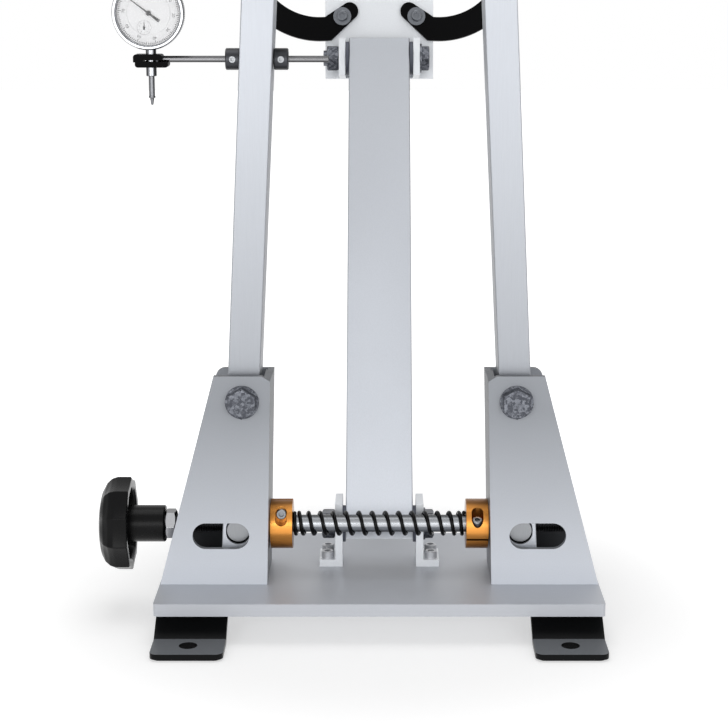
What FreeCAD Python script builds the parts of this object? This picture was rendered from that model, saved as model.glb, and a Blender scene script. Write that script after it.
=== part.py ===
"""Bicycle wheel truing stand, as a parametric document.

The base plate stands on four bent steel feet and carries two folded towers.  In
each tower an upright swings on a pivot bolt, and one lead screw with a right-hand
and a left-hand end moves both uprights together.  Behind the screw a post leans
back and carries the caliper, and a dial gauge rides on a rod through the left
upright.

Millimetres.  +X is to the right, +Y away from the user, +Z up.  The origin lies on
the bench, at the middle of the base plate and of the four bench holes.
"""
import FreeCAD
import Part
import Sketcher
import os
import re

# Driving dimensions: cell alias, value, what it is.
SIZES = [
    ("base_width", 350, "base plate, left to right"),
    ("base_depth", 180, "base plate, front to back"),
    ("base_thickness", 10, "base plate"),
    ("base_corner", 3, "corner radius of the base plate"),
    ("fit", 0.05, "radial clearance of bolts and shafts in their bores"),
    ("clearance", 0.3, "gap between pieces that pass each other"),
    # feet
    ("foot_height", 23, "bench to the underside of the base plate"),
    ("foot_width", 56, "foot, left to right"),
    ("foot_steel", 4.5, "steel of a foot"),
    ("foot_inset", 0.5, "side of the base plate to the side of a foot"),
    ("foot_tab", 36, "tab of a foot under the base plate"),
    ("foot_tab_inset", 23, "plate edge to the end of that tab"),
    ("foot_bend_out", 4, "plate edge to the start of the flange"),
    ("foot_reach", 36, "plate edge to the end of the flange"),
    ("foot_bend_radius", 4, "inside of the bends of a foot"),
    ("foot_corner", 6, "corner radius of a flange"),
    ("foot_screw_spread", 32, "between the two screws of a foot"),
    ("bench_hole", 14, "hole for a bench bolt"),
    ("bench_hole_inset", 19, "that hole to the end of the flange"),
    ("pad_thickness", 1.5, "rubber pad"),
    ("pad_margin", 2.5, "edge of the flange to the edge of its pad"),
    # small screws
    ("small_thread", 6, "M6 screws"),
    ("cap_head", 10, "diameter of an M6 cap head"),
    ("cap_height", 6, "height of an M6 cap head"),
    ("cap_socket", 5, "socket across flats"),
    ("button_head", 11, "diameter of a button head"),
    ("button_height", 3.3, "height of a button head"),
    ("thread_depth", 8, "depth of a tapped hole in the base plate"),
    # large bolts
    ("large_thread", 14, "M14 bolts and lead screw"),
    ("hex_corners", 24.6, "M14 hexagon across corners"),
    ("bolt_head", 8.8, "height of a bolt head"),
    ("nut_height", 11, "height of a nut"),
    ("bolt_flange", 26.4, "flange under the head of a large bolt"),
    ("bolt_flange_height", 1.8, "height of that flange"),
    ("bolt_point", 3, "bolt end past its nut"),
    # towers
    ("tower_sheet", 5, "sheet of a tower"),
    ("tower_depth", 64, "tower, front to back"),
    ("tower_height", 170, "tower above the base plate"),
    ("tower_foot_inner", 89.2, "middle of the stand to the inner edge, at the foot"),
    ("tower_inner_lean", 1.5, "lean of the inner edge, degrees"),
    ("tower_outer_lean", 15, "lean of the outer edge, degrees"),
    ("tower_edge", 0.5, "base plate edge to the outer foot of a tower"),
    ("tower_chamfer", 6.5, "inner top corner, along the top"),
    ("tower_chamfer_drop", 4.2, "inner top corner, down the edge"),
    ("tower_back_drop", 6.5, "rear sheet ends this much lower"),
    ("tower_back_corner", 8, "corner radius of the rear sheet, at its outer top"),
    ("tower_tab", 52, "tab of a tower on the base plate"),
    ("tower_screw_reach", 118, "middle of the stand to the tower screws"),
    ("tower_screw_spread", 34, "between the two screws of a tower"),
    ("window_width", 44.8, "window in the front sheet"),
    ("window_height", 21.2, "window in the front sheet"),
    ("window_reach", 125.5, "middle of the stand to the middle of a window"),
    ("window_level", 40.2, "middle of a window above the base plate"),
    # pivots
    ("pivot_reach", 107, "middle of the stand to a pivot"),
    ("pivot_level", 149.4, "pivot above the base plate"),
    ("sleeve_diameter", 18, "sleeve on a pivot bolt"),
    ("spacer_diameter", 27, "nylon spacer beside an upright"),
    # lead screw
    ("screw_line", -12, "lead screw and towers, from the middle of the base plate"),
    ("screw_level", 41, "lead screw above the base plate"),
    ("screw_left", 212, "left end of the lead screw"),
    ("screw_right", 156, "right end of the lead screw"),
    ("screw_chamfer", 1.5, "chamfer on the screw ends"),
    ("collar_diameter", 40, "clamp collar"),
    ("collar_width", 17.6, "clamp collar"),
    ("collar_gap", 0.35, "collar to tower sheet"),
    ("collar_slit", 2, "slit of a clamp collar"),
    ("collar_pocket", 9.4, "width of the pocket for the clamp screw"),
    ("collar_pocket_low", 8.2, "middle of the pocket's lower end from the collar axis"),
    ("collar_pocket_high", 12.6, "middle of the pocket's upper end from the collar axis"),
    ("collar_screw_level", 11.5, "clamp screw from the collar axis"),
    ("collar_pocket_floor", 9, "pocket floor from the collar axis"),
    ("collar_head", 8.4, "head of the clamp screw"),
    ("collar_thread", 5, "clamp screw"),
    ("right_collar_turn", 114, "right collar turned about the screw, degrees"),
    ("bush_diameter", 20, "bush in a tower sheet"),
    ("bush_length", 5.9, "bush in a tower sheet"),
    ("spring_diameter", 20.4, "spring, outside"),
    ("spring_wire", 2.9, "spring wire"),
    ("spring_pitch", 10.7, "spring, turn to turn"),
    ("nut_diameter", 19, "barrel nut"),
    ("nut_slack", 0.2, "barrel nut to the sides of its slot"),
    ("nut_travel", 1.8, "slot past the barrel nut, up and down"),
    # knob
    ("knob_diameter", 76.4, "knob, across opposite ridges"),
    ("knob_thickness", 25, "knob head"),
    ("knob_shoulder", 14, "outer face to the full diameter"),
    ("knob_hollow", 11.5, "depth of the hollow back"),
    ("knob_wall", 9, "wall round the hollow"),
    ("knob_hub", 29.6, "hub diameter"),
    ("knob_hub_length", 27.6, "hub past the head"),
    ("knob_valley", 98, "radius of the hollows round the knob"),
    ("knob_valley_depth", 2.5, "depth of those hollows"),
    ("knob_first", 22.4, "first hollow from the bottom of the knob, degrees"),
    ("jam_nut", 8.6, "height of the jam nut"),
    # uprights
    ("upright_width", 25, "upright, left to right"),
    ("upright_depth", 40, "upright, front to back"),
    ("upright_wall", 3, "wall of an upright"),
    ("upright_lean", 2.95, "lean towards the middle at rest, degrees"),
    ("upright_reach", 338, "pivot to the top of an upright"),
    ("upright_below", 22, "lead screw to the bottom of an upright"),
    ("screw_pass_width", 16, "opening for the lead screw in the side walls"),
    ("screw_pass_height", 22, "the same opening, up and down"),
    ("plug_depth", 9, "end plug inside a tube"),
    # dropouts
    ("dropout_thickness", 6, "dropout plate"),
    ("dropout_below", 26, "plate below the top of the upright"),
    ("dropout_above", 32, "plate above the top of the upright"),
    ("axle_slot", 10.2, "slot for the wheel axle"),
    ("axle_level", 12, "axle above the top of the upright"),
    ("dropout_screw_drop", 15, "screws below the top of the upright"),
    ("dropout_screw_spread", 22, "between the two screws of a dropout plate"),
    # post
    ("post_width", 55, "post, left to right"),
    ("post_depth", 25, "post, front to back"),
    ("post_wall", 3, "wall of the post"),
    ("post_lean", 34, "lean of the post at rest, degrees"),
    ("post_above", 14, "caliper pivot to the top of the post"),
    ("post_below", 16.6, "post pivot to the bottom of the post, at its front"),
    ("post_cut", 21.5, "slope of the post's lower end, degrees"),
    ("post_line", 15, "post pivot, from the middle of the base plate"),
    ("post_level", 32.3, "post pivot above the base plate"),
    ("post_washer", 2.5, "washer beside the post"),
    ("post_washer_size", 30, "diameter of that washer"),
    ("bracket_sheet", 6, "angle bracket"),
    ("bracket_height", 53.6, "angle bracket"),
    ("bracket_depth", 30, "angle bracket, front to back"),
    ("bracket_flange", 19, "flange on the base plate, with the sheet"),
    ("bracket_screw_inset", 6.6, "bracket screws to the end of the flange"),
    ("bracket_screw_spread", 17, "between the two screws of a bracket"),
    # caliper
    ("caliper_reach", 441, "post pivot to the caliper pivot"),
    ("caliper_tilt", 9, "lean of the caliper plate at rest, degrees"),
    ("caliper_width", 99.4, "caliper plate"),
    ("caliper_plate", 6, "thickness of the caliper plate"),
    ("caliper_offset", 20, "pivot to the front face of the plate"),
    ("caliper_up", 55.4, "pivot to the top of the plate"),
    ("caliper_down", 16.3, "pivot to the bottom of the plate"),
    ("cheek_sheet", 6, "cheek of the caliper bracket"),
    ("cheek_front", 12, "pivot to the front edge of a cheek"),
    ("cheek_up", 17, "pivot to the top of a cheek"),
    ("caliper_spacer", 3.2, "friction washer between post and cheek"),
    ("caliper_spacer_size", 30, "diameter of that washer"),
    ("arm_thickness", 6, "caliper arm"),
    ("arm_pivot_reach", 34, "middle of the plate to an arm pivot"),
    ("arm_pivot_level", 39.7, "caliper pivot to an arm pivot"),
    ("arm_lobe", 7.8, "radius of the inner end of an arm"),
    ("arm_lobe_reach", 27.2, "middle of the plate to that end"),
    ("arm_lobe_level", 44.8, "caliper pivot to that end"),
    ("arm_centre_reach", 54.7, "middle of the plate to the centre of the bow"),
    ("arm_centre_level", 96.9, "caliper pivot to the centre of the bow"),
    ("arm_inner", 57.8, "inner radius of the bow"),
    ("arm_outer", 79.4, "outer radius of the bow"),
    ("arm_washer", 16.4, "washer under an arm screw"),
    ("arm_washer_thickness", 1.5, "that washer"),
    ("tip_block", 15, "block at the end of an arm"),
    ("tip_block_depth", 19.5, "that block, front to back"),
    ("pin_line", 7, "rim pin in front of the arm"),
    ("pin_diameter", 6, "rim pin"),
    ("pin_out", 20, "rim pin past its block, towards the rim"),
    ("pin_in", 8, "rim pin past its block, at the head end"),
    ("pin_head", 13, "knurled head of a rim pin"),
    ("pin_head_width", 7, "that head"),
    ("pin_point", 5, "cone at the end of a rim pin"),
    # dial gauge
    ("gauge_level", 411.8, "gauge rod above the base plate"),
    ("gauge_rod", 5, "gauge rod"),
    ("gauge_rod_left", 170, "left end of the gauge rod"),
    ("gauge_rod_right", 38.5, "right end of the gauge rod"),
    ("rod_pass", 6.9, "bore for the rod in the upright"),
    ("rod_collar", 16.6, "collar on the gauge rod"),
    ("rod_collar_width", 11, "collar on the gauge rod"),
    ("set_screw", 5, "set screw of that collar"),
    ("dial_reach", 174.5, "middle of the stand to the dial"),
    ("dial_rise", 34.8, "gauge rod to the middle of the dial"),
    ("case_diameter", 51, "case of the dial gauge"),
    ("case_depth", 19, "case, front to back"),
    ("case_wall", 2, "case"),
    ("case_front", 9, "stem axis to the front of the case"),
    ("bezel_diameter", 55.2, "bezel"),
    ("bezel_depth", 6.5, "bezel, front to back"),
    ("bezel_window", 48, "opening of the bezel"),
    ("bezel_lip", 1.6, "rim of the bezel in front of the crystal"),
    ("crystal_thickness", 1.2, "crystal"),
    ("face_thickness", 0.8, "dial face"),
    ("face_radius", 16.4, "fixed middle of the dial face, inside the scale"),
    ("face_rise", 0.7, "dial face in front of the case"),
    ("stem_diameter", 8, "stem"),
    ("stem_bottom", 12.9, "gauge rod to the end of the stem"),
    ("plunger_diameter", 4.5, "plunger"),
    ("plunger_bottom", 28, "gauge rod to the collar of the plunger"),
    ("contact_length", 7, "contact point of the plunger"),
    ("plunger_travel", 10, "travel of the plunger"),
    ("cap_diameter", 7, "cap at the top of the plunger"),
    ("cap_length", 8, "that cap"),
    ("clamp_width", 26.6, "clamp block"),
    ("clamp_height", 9.9, "clamp block"),
    ("clamp_depth", 15, "clamp block"),
    ("clamp_right", 160.9, "middle of the stand to the right end of the clamp"),
    ("clamp_slit", 1.2, "slit of the clamp"),
    ("clamp_rise", 1.2, "gauge rod above the middle of the clamp"),
    ("clamp_screw", 3, "screw of the clamp"),
    ("clamp_screw_inset", 8.6, "that screw from the right end of the clamp"),
    ("clamp_step", 4.4, "length of the step at the right end of the clamp"),
    ("clamp_notch", 1.3, "depth of the notch at the left end of the clamp"),
    ("clamp_round", 2.2, "rounding of the clamp's corners"),
    ("clamp_screw_front", 4.6, "that screw in front of the gauge rod"),
    ("hand_thickness", 0.4, "pointers"),
    ("hand_length", 20, "long pointer"),
    ("hand_tail", 10, "tail of the long pointer"),
    ("hand_width", 1.1, "long pointer"),
    ("hand_turn", 53.4, "long pointer, degrees to the left of straight up"),
    ("counter_left", 3.5, "turn counter, left of the middle of the dial"),
    ("counter_drop", 10.8, "turn counter, below the middle of the dial"),
    ("counter_hand", 4.2, "pointer of the turn counter"),
]

# Places and sizes that follow from the cells.
DERIVED = {
    "foot_spacing": "base_width - foot_width - 2 * foot_inset",
    "post_reach": "caliper_reach + post_above",
    "plate_top": "foot_height + base_thickness",
    "foot_bend": "foot_steel * tan(atan((foot_height - pad_thickness - foot_steel)"
                 " / (foot_tab_inset + foot_bend_out)) / 2)",
    "flange_top": "pad_thickness + foot_steel",
    "foot_screw_out": "foot_tab_inset + foot_tab / 2",
    "tower_top_inner": "tower_foot_inner - (tower_height - tower_chamfer_drop)"
                       " * tan(tower_inner_lean)",
    "tower_foot_outer": "base_width / 2 - tower_edge",
    "tower_top_outer": "tower_foot_outer - tower_height * tan(tower_outer_lean)",
    "tower_half": "tower_depth / 2",
    "screw_z": "plate_top + screw_level",
    "pivot_z": "plate_top + pivot_level",
    "screw_drop": "(pivot_level - screw_level) / cos(upright_lean)",
    "nut_reach": "pivot_reach + (pivot_level - screw_level) * tan(upright_lean)",
    "collar_outer": "tower_foot_inner - (screw_level + collar_diameter / 2)"
                    " * tan(tower_inner_lean) - collar_gap",
    "collar_inner": "collar_outer - collar_width",
    "spring_length": "2 * collar_inner",
    "hub_left": "tower_foot_outer - 2.3",
    "post_z": "plate_top + post_level",
    "bracket_inner": "post_width / 2 + post_washer",
    "bracket_outer": "bracket_inner + bracket_sheet",
    "bracket_end": "bracket_inner + bracket_flange",
    "caliper_y": "post_line + caliper_reach * sin(post_lean)",
    "caliper_z": "post_z + caliper_reach * cos(post_lean)",
    "cheek_inner": "post_width / 2 + caliper_spacer + fit",
    "cheek_outer": "cheek_inner + cheek_sheet",
    "arm_back": "caliper_offset - fit",
    "arm_front": "arm_back - arm_thickness",
    "tip_level": "arm_centre_level + (arm_inner + arm_outer) / 2",
    "gauge_z": "plate_top + gauge_level",
    "gauge_reach": "pivot_reach - (gauge_level - pivot_level) * tan(upright_lean)",
    "rod_collar_gap": "upright_width / 2 / cos(upright_lean) + fit"
                      " + rod_collar / 2 * tan(upright_lean)",
    "dial_z": "gauge_z + dial_rise",
}

CELLS = {alias for alias, _, _ in SIZES}
WORD = re.compile(r"[a-z][a-z_0-9]*")
FULL_TURN = 360
X_AXIS = FreeCAD.Vector(1, 0, 0)
Y_AXIS = FreeCAD.Vector(0, 1, 0)
Z_AXIS = FreeCAD.Vector(0, 0, 1)
LEFT, RIGHT = -1, 1
SIDES = (("left", LEFT), ("right", RIGHT))

doc = FreeCAD.newDocument("TruingStand")
sheet = doc.addObject("Spreadsheet::Sheet", "Sizes")
nodes = []


# ---------------------------------------------------------------- formulas

def formula(text):
    """A formula with each derived name written out and each cell named in full."""
    def replace(match):
        word = match.group()
        if word in DERIVED:
            return "(" + formula(DERIVED[word]) + ")"
        return "Sizes." + word if word in CELLS else word
    return WORD.sub(replace, str(text))


def number(text):
    """The present value of a formula."""
    result = sheet.evalExpression(formula(text))
    return float(getattr(result, "Value", result))


def bind(target, prop, text):
    """Tie a property to a formula over the sheet."""
    target.setExpression(prop, formula(text))


def fill_sheet():
    """Write the driving dimensions into the sheet, one to a row."""
    for row, (alias, size, note) in enumerate(SIZES, start=1):
        sheet.set("A%d" % row, note)
        sheet.set("B%d" % row, str(size))
        sheet.setAlias("B%d" % row, alias)
    doc.recompute()


# ---------------------------------------------------------------- sketches

def new_body(name):
    """An empty body."""
    return doc.addObject("PartDesign::Body", name)


def sketch_on(body, role, lift="0"):
    """A sketch on an origin plane of its own body, lifted along the plane's normal."""
    sketch = body.newObject("Sketcher::SketchObject", body.Name + "_sketch")
    plane = [f for f in body.Origin.OriginFeatures if f.Role == role][0]
    sketch.AttachmentSupport = (plane, "")
    sketch.MapMode = "FlatFace"
    if lift != "0":
        bind(sketch, "AttachmentOffset.Base.z", lift)
    return sketch


def tie(sketch, kind, where, text):
    """One dimension of a sketch, tied to a formula."""
    index = sketch.addConstraint(Sketcher.Constraint(kind, *where, number(text)))
    bind(sketch, "Constraints[%d]" % index, text)


def arc_between(start, end, radius, turn):
    """The minor arc from start to end; turn is +1 anticlockwise, -1 clockwise."""
    chord = end - start
    middle = (start + end) * 0.5
    rise = max(radius * radius - chord.Length ** 2 / 4, 0) ** 0.5
    side = FreeCAD.Vector(-chord.y, chord.x, 0).normalize()
    centre = middle + side * (rise * turn)
    first, last = (start, end) if turn > 0 else (end, start)
    circle = Part.Circle(centre, Z_AXIS, radius)
    return Part.ArcOfCircle(circle, circle.parameter(first), circle.parameter(last))


def outline(sketch, corners):
    """A closed outline.  A corner is (x, y), or (x, y, radius, turn) where the edge
    that leaves it is an arc."""
    base = sketch.GeometryCount
    count = len(corners)
    points = [FreeCAD.Vector(number(c[0]), number(c[1]), 0) for c in corners]
    ends = []
    for index, corner in enumerate(corners):
        start, end = points[index], points[(index + 1) % count]
        if len(corner) == 2:
            sketch.addGeometry(Part.LineSegment(start, end), False)
            ends.append((1, 2))
        else:
            arc = arc_between(start, end, number(corner[2]), corner[3])
            sketch.addGeometry(arc, False)
            ends.append((1, 2) if corner[3] > 0 else (2, 1))
    for index, corner in enumerate(corners):
        edge, after = base + index, base + (index + 1) % count
        first = ends[index][0]
        joint = (edge, ends[index][1], after, ends[(index + 1) % count][0])
        sketch.addConstraint(Sketcher.Constraint("Coincident", *joint))
        tie(sketch, "DistanceX", (-1, 1, edge, first), corner[0])
        tie(sketch, "DistanceY", (-1, 1, edge, first), corner[1])
        if len(corner) > 2:
            tie(sketch, "Radius", (edge,), corner[2])


def rectangle(sketch, x_low, y_low, x_high, y_high):
    """A rectangle between two corners."""
    outline(sketch, [(x_low, y_low), (x_high, y_low), (x_high, y_high), (x_low, y_high)])


def circle(sketch, x, y, radius):
    """A circle about a point."""
    centre = FreeCAD.Vector(number(x), number(y), 0)
    edge = sketch.addGeometry(Part.Circle(centre, Z_AXIS, number(radius)), False)
    tie(sketch, "DistanceX", (-1, 1, edge, 3), x)
    tie(sketch, "DistanceY", (-1, 1, edge, 3), y)
    tie(sketch, "Radius", (edge,), radius)


def hexagon(sketch, across_corners):
    """A regular hexagon about the origin."""
    radius = "(%s) / 2" % across_corners
    outline(sketch, [("%s * cos(%d)" % (radius, a), "%s * sin(%d)" % (radius, a))
                     for a in range(30, 390, 60)])


def slot(sketch, x, y, half_width, half_height):
    """A slot with round ends, long in x where half_width is larger, else in y."""
    wide = number(half_width) > number(half_height)
    radius = half_height if wide else half_width
    straight = "(%s) - (%s)" % ((half_width, radius) if wide else (half_height, radius))
    base = sketch.GeometryCount
    shift = "(%s)" % straight
    along, across = (("x", "y") if wide else ("y", "x"))
    centre = {"x": "(%s)" % x, "y": "(%s)" % y}
    corners = []
    for run, rise in ((-1, -1), (1, -1), (1, 1), (-1, 1)):
        point = dict(centre)
        point[along] += " + %d * %s" % (run, shift)
        point[across] += " + %d * (%s)" % (rise, radius)
        corners.append((point["x"], point["y"]))
    points = [FreeCAD.Vector(number(a), number(b), 0) for a, b in corners]
    ends = []
    for run in (1, -1):
        point = dict(centre)
        point[along] += " + %d * %s" % (run, shift)
        ends.append(FreeCAD.Vector(number(point["x"]), number(point["y"]), 0))
    sketch.addGeometry(Part.LineSegment(points[0], points[1]), False)
    far = Part.Circle(ends[0], Z_AXIS, number(radius))
    near = Part.Circle(ends[1], Z_AXIS, number(radius))
    turn = (points[1], points[2]) if wide else (points[2], points[1])
    back = (points[3], points[0]) if wide else (points[0], points[3])
    sketch.addGeometry(Part.ArcOfCircle(far, far.parameter(turn[0]), far.parameter(turn[1])), False)
    sketch.addGeometry(Part.LineSegment(points[2], points[3]), False)
    sketch.addGeometry(Part.ArcOfCircle(near, near.parameter(back[0]), near.parameter(back[1])), False)
    one, two = (1, 2) if wide else (2, 1)
    for joint in ((0, 2, 1, one), (1, two, 2, 1), (2, 2, 3, one), (3, two, 0, 1)):
        where = (base + joint[0], joint[1], base + joint[2], joint[3])
        sketch.addConstraint(Sketcher.Constraint("Coincident", *where))
    for edge, point, corner in ((0, 1, 0), (0, 2, 1), (2, 1, 2), (2, 2, 3)):
        tie(sketch, "DistanceX", (-1, 1, base + edge, point), corners[corner][0])
        tie(sketch, "DistanceY", (-1, 1, base + edge, point), corners[corner][1])
    level = "DistanceX" if wide else "DistanceY"
    for edge, run in ((1, 1), (3, -1)):
        where = "%s + %d * %s" % (centre[along], run, shift)
        tie(sketch, level, (-1, 1, base + edge, 3), where)


# ---------------------------------------------------------------- features

def pad(body, sketch, length, both=False, against=False):
    """Material from a sketch, along its normal, against it, or to both sides."""
    feature = body.newObject("PartDesign::Pad", body.Name + "_pad")
    feature.Profile = sketch
    feature.Midplane = both
    feature.Reversed = against
    bind(feature, "Length", length)
    return finish_feature(body, feature)


def pocket(body, sketch, depth=None, both=False, along=False):
    """A cut from a sketch, against its normal, along it, or through to both sides."""
    feature = body.newObject("PartDesign::Pocket", body.Name + "_pocket")
    feature.Profile = sketch
    feature.Midplane = both
    feature.Reversed = along
    if depth is None:
        feature.Type = "ThroughAll"
    else:
        bind(feature, "Length", depth)
    return finish_feature(body, feature)


def turned(name, profile, role="XZ_Plane"):
    """A body turned about Z from a profile of (radius, height) corners."""
    body = new_body(name)
    sketch = sketch_on(body, role)
    outline(sketch, profile)
    feature = body.newObject("PartDesign::Revolution", name + "_turn")
    feature.Profile = sketch
    feature.ReferenceAxis = (sketch, ["V_Axis"])
    feature.Angle = FULL_TURN
    finish_feature(body, feature)
    return body


def groove(body, profile):
    """A cut turned about Z from a profile of (radius, height) corners."""
    sketch = sketch_on(body, "XZ_Plane")
    outline(sketch, profile)
    feature = body.newObject("PartDesign::Groove", body.Name + "_groove")
    feature.Profile = sketch
    feature.ReferenceAxis = (sketch, ["V_Axis"])
    feature.Angle = FULL_TURN
    return finish_feature(body, feature)


def finish_feature(body, feature):
    """Make a feature the tip of its body and hide its sketch."""
    body.Tip = feature
    doc.recompute()
    return feature


def round_edges(body, base, radius, chosen):
    """Fillet the edges of the base feature that the test picks."""
    names = ["Edge%d" % (i + 1) for i, e in enumerate(base.Shape.Edges) if chosen(e)]
    feature = body.newObject("PartDesign::Fillet", body.Name + "_fillet")
    feature.Base = (base, names)
    bind(feature, "Radius", radius)
    return finish_feature(body, feature)


def upright_edge(edge):
    """Whether an edge runs straight up."""
    box = edge.BoundBox
    return box.XLength < 1e-6 and box.YLength < 1e-6


def edge_at(spots):
    """A test for an edge along X at one of some (y, z) spots."""
    wanted = [(number(y), number(z)) for y, z in spots]

    def test(edge):
        box = edge.BoundBox
        return box.XLength > 1 and box.YLength < 1e-3 and box.ZLength < 1e-3 and any(
            abs(box.YMin - y) < 1e-3 and abs(box.ZMin - z) < 1e-3 for y, z in wanted)
    return test


# ---------------------------------------------------------------- placing

def place(item, x="0", y="0", z="0", axis=None, angle="0"):
    """Put an item at a place, turned about one axis by an angle in degrees."""
    if axis is not None:
        item.Placement = FreeCAD.Placement(FreeCAD.Vector(), FreeCAD.Rotation(axis, number(angle)))
        if WORD.search(str(angle)):
            bind(item, "Placement.Rotation.Angle", angle)
    for letter, text in (("x", x), ("y", y), ("z", z)):
        if str(text) != "0":
            bind(item, "Placement.Base." + letter, text)
    return item


def node(item, label):
    """Name an item as one sub-part of the stand."""
    item.Label = label
    nodes.append(item)
    return item


def group(label, form, places):
    """One sub-part made of several copies of a form."""
    copies = []
    for index, spot in enumerate(places):
        copy = doc.addObject("App::Link", "%s_%d" % (label, index + 1))
        copy.LinkedObject = form
        copies.append(place(copy, *spot))
    compound = doc.addObject("Part::Compound", label + "_group")
    compound.Links = copies
    return node(compound, label)


# ---------------------------------------------------------------- fasteners

def hex_head(body, sketch_lift, height):
    """A hexagon of the large thread with its outer corners turned off."""
    sketch = sketch_on(body, "XY_Plane", sketch_lift)
    hexagon(sketch, "hex_corners")
    pad(body, sketch, height)


def hex_bolt(name, grip):
    """A bolt whose head stands on z = 0 and whose shank runs down through the grip."""
    body = new_body(name)
    hex_head(body, "0", "bolt_head")
    shank = sketch_on(body, "XY_Plane")
    circle(shank, "0", "0", "large_thread / 2")
    pad(body, shank, "(%s) + nut_height + bolt_point" % grip, against=True)
    groove(body, [("hex_corners * 0.41", "bolt_head"), ("hex_corners * 0.6", "bolt_head"),
                  ("hex_corners * 0.6", "bolt_head - hex_corners * 0.11")])
    flange = sketch_on(body, "XY_Plane")
    circle(flange, "0", "0", "bolt_flange / 2")
    pad(body, flange, "bolt_flange_height")
    return body


def hex_nut(name, height):
    """A nut that stands on z = 0, both faces chamfered."""
    body = new_body(name)
    hex_head(body, "0", height)
    bore = sketch_on(body, "XY_Plane")
    circle(bore, "0", "0", "large_thread / 2 + fit")
    pocket(body, bore, both=True)
    for face, sign in ((height, "-"), ("0", "+")):
        groove(body, [("hex_corners * 0.41", face), ("hex_corners * 0.6", face),
                      ("hex_corners * 0.6", "%s %s hex_corners * 0.11" % (face, sign))])
    return body


def cap_screw(name, head, height, thread, length, socket):
    """A socket screw whose head stands on z = 0 and whose shank runs down."""
    body = turned(name, [("0", "-(%s)" % length), ("(%s) / 2" % thread, "-(%s)" % length),
                         ("(%s) / 2" % thread, "0"), ("(%s) / 2" % head, "0"),
                         ("(%s) / 2" % head, "(%s) - 0.6" % height),
                         ("(%s) / 2 - 0.6" % head, height), ("0", height)])
    hollow = sketch_on(body, "XY_Plane", height)
    hexagon(hollow, "(%s) * 1.1547" % socket)
    pocket(body, hollow, "(%s) * 0.55" % height)
    return body


def ring(name, outer, inner, length):
    """A plain ring that stands on z = 0."""
    return turned(name, [("(%s) / 2" % inner, "0"), ("(%s) / 2" % outer, "0"),
                         ("(%s) / 2" % outer, length), ("(%s) / 2" % inner, length)])


# ---------------------------------------------------------------- base

def foot_form():
    """A bent steel foot.  Its own Y points away from the base plate, from the edge."""
    body = new_body("foot_form")
    side = sketch_on(body, "YZ_Plane")
    outline(side, [
        ("-(foot_tab_inset + foot_tab)", "foot_height"),
        ("-(foot_tab_inset + foot_tab)", "foot_height - foot_steel"),
        ("-foot_tab_inset - foot_bend", "foot_height - foot_steel"),
        ("foot_bend_out - foot_bend", "pad_thickness"),
        ("foot_reach", "pad_thickness"),
        ("foot_reach", "flange_top"),
        ("foot_bend_out", "flange_top"),
        ("-foot_tab_inset", "foot_height")])
    form = pad(body, side, "foot_width", both=True)
    reach = number("foot_reach")
    form = round_edges(body, form, "foot_corner",
                       lambda e: upright_edge(e) and abs(e.BoundBox.YMax - reach) < 1e-3)
    form = round_edges(body, form, "foot_bend_radius", edge_at([
        ("-foot_tab_inset - foot_bend", "foot_height - foot_steel"),
        ("foot_bend_out", "flange_top")]))
    round_edges(body, form, "foot_bend_radius + foot_steel", edge_at([
        ("foot_bend_out - foot_bend", "pad_thickness"), ("-foot_tab_inset", "foot_height")]))
    holes = sketch_on(body, "XY_Plane")
    circle(holes, "0", "foot_reach - bench_hole_inset", "bench_hole / 2")
    for run in (-1, 1):
        circle(holes, "%d * foot_screw_spread / 2" % run, "-foot_screw_out",
               "small_thread / 2 + fit")
    pocket(body, holes, both=True)
    return body


def pad_form():
    """A rubber pad under a flange, with room for the bench bolt."""
    body = new_body("pad_form")
    flat = sketch_on(body, "XY_Plane")
    rectangle(flat, "-(foot_width / 2 - pad_margin)", "foot_bend_out + pad_margin / 2",
              "foot_width / 2 - pad_margin", "foot_reach - pad_margin")
    form = pad(body, flat, "pad_thickness")
    reach = number("foot_reach - pad_margin")
    round_edges(body, form, "foot_corner - pad_margin / 2",
                lambda e: upright_edge(e) and abs(e.BoundBox.YMax - reach) < 1e-3)
    hole = sketch_on(body, "XY_Plane")
    circle(hole, "0", "foot_reach - bench_hole_inset", "bench_hole / 2")
    pocket(body, hole, both=True)
    return body


def foot_places(front):
    """Where the two front or the two rear feet stand."""
    if front:
        return [("%d * foot_spacing / 2" % s, "-base_depth / 2", "0", Z_AXIS, "180")
                for _, s in SIDES]
    return [("%d * foot_spacing / 2" % s, "base_depth / 2", "0") for _, s in SIDES]


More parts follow.
